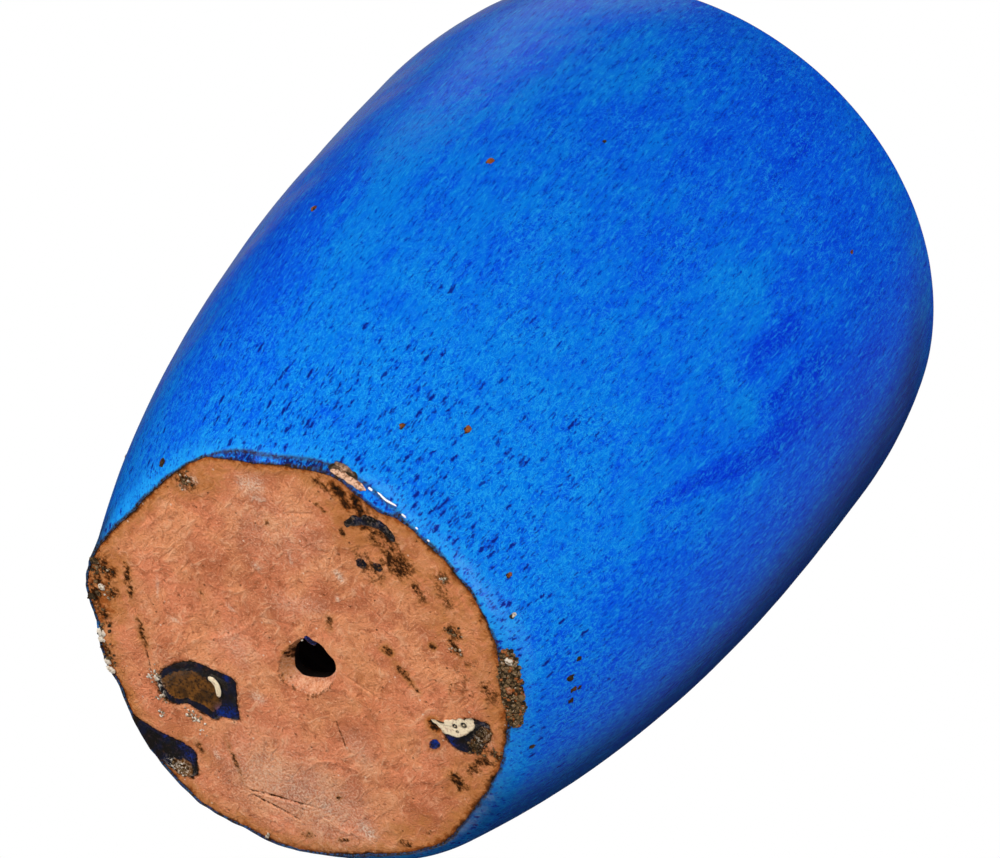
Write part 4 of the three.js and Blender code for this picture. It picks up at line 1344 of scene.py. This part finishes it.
def add_world():
    """White behind the pot and an even soft light from all round, with a few pale panels to reflect."""
    world = bpy.data.worlds.new("studio")
    bpy.context.scene.world = world
    world.use_nodes = True
    tree = world.node_tree
    tree.nodes.clear()
    path = put_node(tree, "LightPath").outputs
    way = put_node(tree, "TexCoord").outputs["Generated"]
    reflected = graded(tree, way, (0, 0, -1), -0.05, 0.35, GROUND_GLOW, DIM)
    for direction, tight, bright in PANELS:
        glow = graded(tree, way, direction, tight, 1.0, bright, 0)
        reflected = put_node(tree, "Math", {0: reflected, 1: glow}, operation="ADD").outputs[0]
    light = mixed(tree, path["Is Glossy Ray"], (AMBIENT, AMBIENT, AMBIENT), reflected)
    rays = {0: path["Is Camera Ray"], 1: path["Is Transmission Ray"]}
    seen = put_node(tree, "Math", rays, operation="MAXIMUM").outputs[0]
    background = put_node(tree, "Background", {"Color": mixed(tree, seen, light, (1, 1, 1))})
    put_node(tree, "OutputWorld", {"Surface": background.outputs[0]})


def graded(tree, way, direction, low, high, bright, dim):
    """A smooth glow round a direction, from dim where the cosine is low to bright where it is high."""
    vectors = {0: way, 1: Vector(direction).normalized()}
    facing = put_node(tree, "VectorMath", vectors, operation="DOT_PRODUCT").outputs["Value"]
    values = {"Value": facing, "From Min": low, "From Max": high, "To Min": dim, "To Max": bright}
    return put_node(tree, "MapRange", values, interpolation_type="SMOOTHSTEP").outputs["Result"]


def mixed(tree, factor, a, b):
    return put_node(tree, "Mix", {0: factor, 6: a, 7: b}, data_type="RGBA").outputs[2]


# Floor, in metres: it is plain out to one radius, fades out at another, and lies a little under the foot
FLOOR_PLAIN = 0.28
FLOOR_RADIUS = 0.95
FLOOR_LEVEL = -0.0005
FLOOR_PALE = (0.86, 0.86, 0.85)
FLOOR_GLOW = 0.55


def add_floor():
    """A pale floor that is seen from above only and fades out into the white round it."""
    bpy.ops.mesh.primitive_circle_add(
        vertices=96, radius=FLOOR_RADIUS, fill_type="NGON", location=(0, 0, FLOOR_LEVEL))
    floor = bpy.context.object
    floor.name = "floor"
    material = bpy.data.materials.new("floor")
    material.use_nodes = True
    tree = material.node_tree
    tree.nodes.clear()
    matt = put_node(tree, "BsdfDiffuse", {"Color": FLOOR_PALE})
    glow = put_node(tree, "Emission", {"Strength": FLOOR_GLOW})
    pale = put_node(tree, "AddShader", {0: matt.outputs[0], 1: glow.outputs[0]})
    clear = put_node(tree, "BsdfTransparent")
    place = put_node(tree, "TexCoord").outputs["Object"]
    reach = put_node(tree, "VectorMath", {0: place}, operation="LENGTH").outputs["Value"]
    values = {"Value": reach, "From Min": FLOOR_PLAIN, "From Max": FLOOR_RADIUS}
    fade = put_node(tree, "MapRange", values, interpolation_type="SMOOTHSTEP").outputs["Result"]
    under = put_node(tree, "NewGeometry").outputs["Backfacing"]
    gone = put_node(tree, "Math", {0: fade, 1: under}, operation="MAXIMUM").outputs[0]
    blend = put_node(tree, "MixShader", {0: gone, 1: pale.outputs[0], 2: clear.outputs[0]})
    put_node(tree, "OutputMaterial", {"Surface": blend.outputs[0]})
    floor.data.materials.append(material)
    for ray in ("diffuse", "glossy", "transmission", "shadow", "volume_scatter"):
        setattr(floor, f"visible_{ray}", False)
    floor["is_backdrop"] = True


def light_the_pot():
    """Lamps round the pot: direction, distance, size and level of each."""
    right, down, forward = camera_axes()
    add_lamp("main", right * 0.1 - down * 0.4 - forward * 0.9, 2.6, 1.0, 0.57)
    add_lamp("left", -right * 0.9 - down * 0.15 - forward * 0.42, 2.4, 1.2, 0.69)
    add_lamp("right", Vector((0.78, -0.60, -0.16)), 2.4, 1.2, 0.43)
    add_lamp("below", Vector((0, -0.2, -1.0)), 2.4, 1.2, 0.05)
    add_lamp("behind", Vector((0.2, 1.0, 0.2)), 2.4, 1.6, 0.60)
    add_lamp("above", Vector((-0.35, 0.05, 1.0)), 2.4, 2.0, 0.36)


# The whole pot

blue = blue_glaze_material()
clay = clay_material()
glass = pool_material()
cream = cream_material()
grit = grit_material()

glaze_coat(blue)
for ring, low, high in zip(("lower_wall", "middle_wall", "upper_wall", "shoulder_wall"), JOINTS, JOINTS[1:]):
    clay_ring(ring, low + GAP, high, clay)
rim_coil(clay)
seam_fillet(clay)
base_slab(clay)
for pool_name, pool in POOLS.items():
    glaze_pool(pool_name, pool, glass)
pool_arc(glass)
glaze_drops(glass)
flake_left(cream)
flake_right(cream)
grit_crusts(grit)
crumbs(grit)
iron_specks(grit)
foot_chips(cream)

add_camera()
add_world()
add_floor()
light_the_pot()
bpy.context.scene.view_settings.view_transform = "Standard"

low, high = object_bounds()
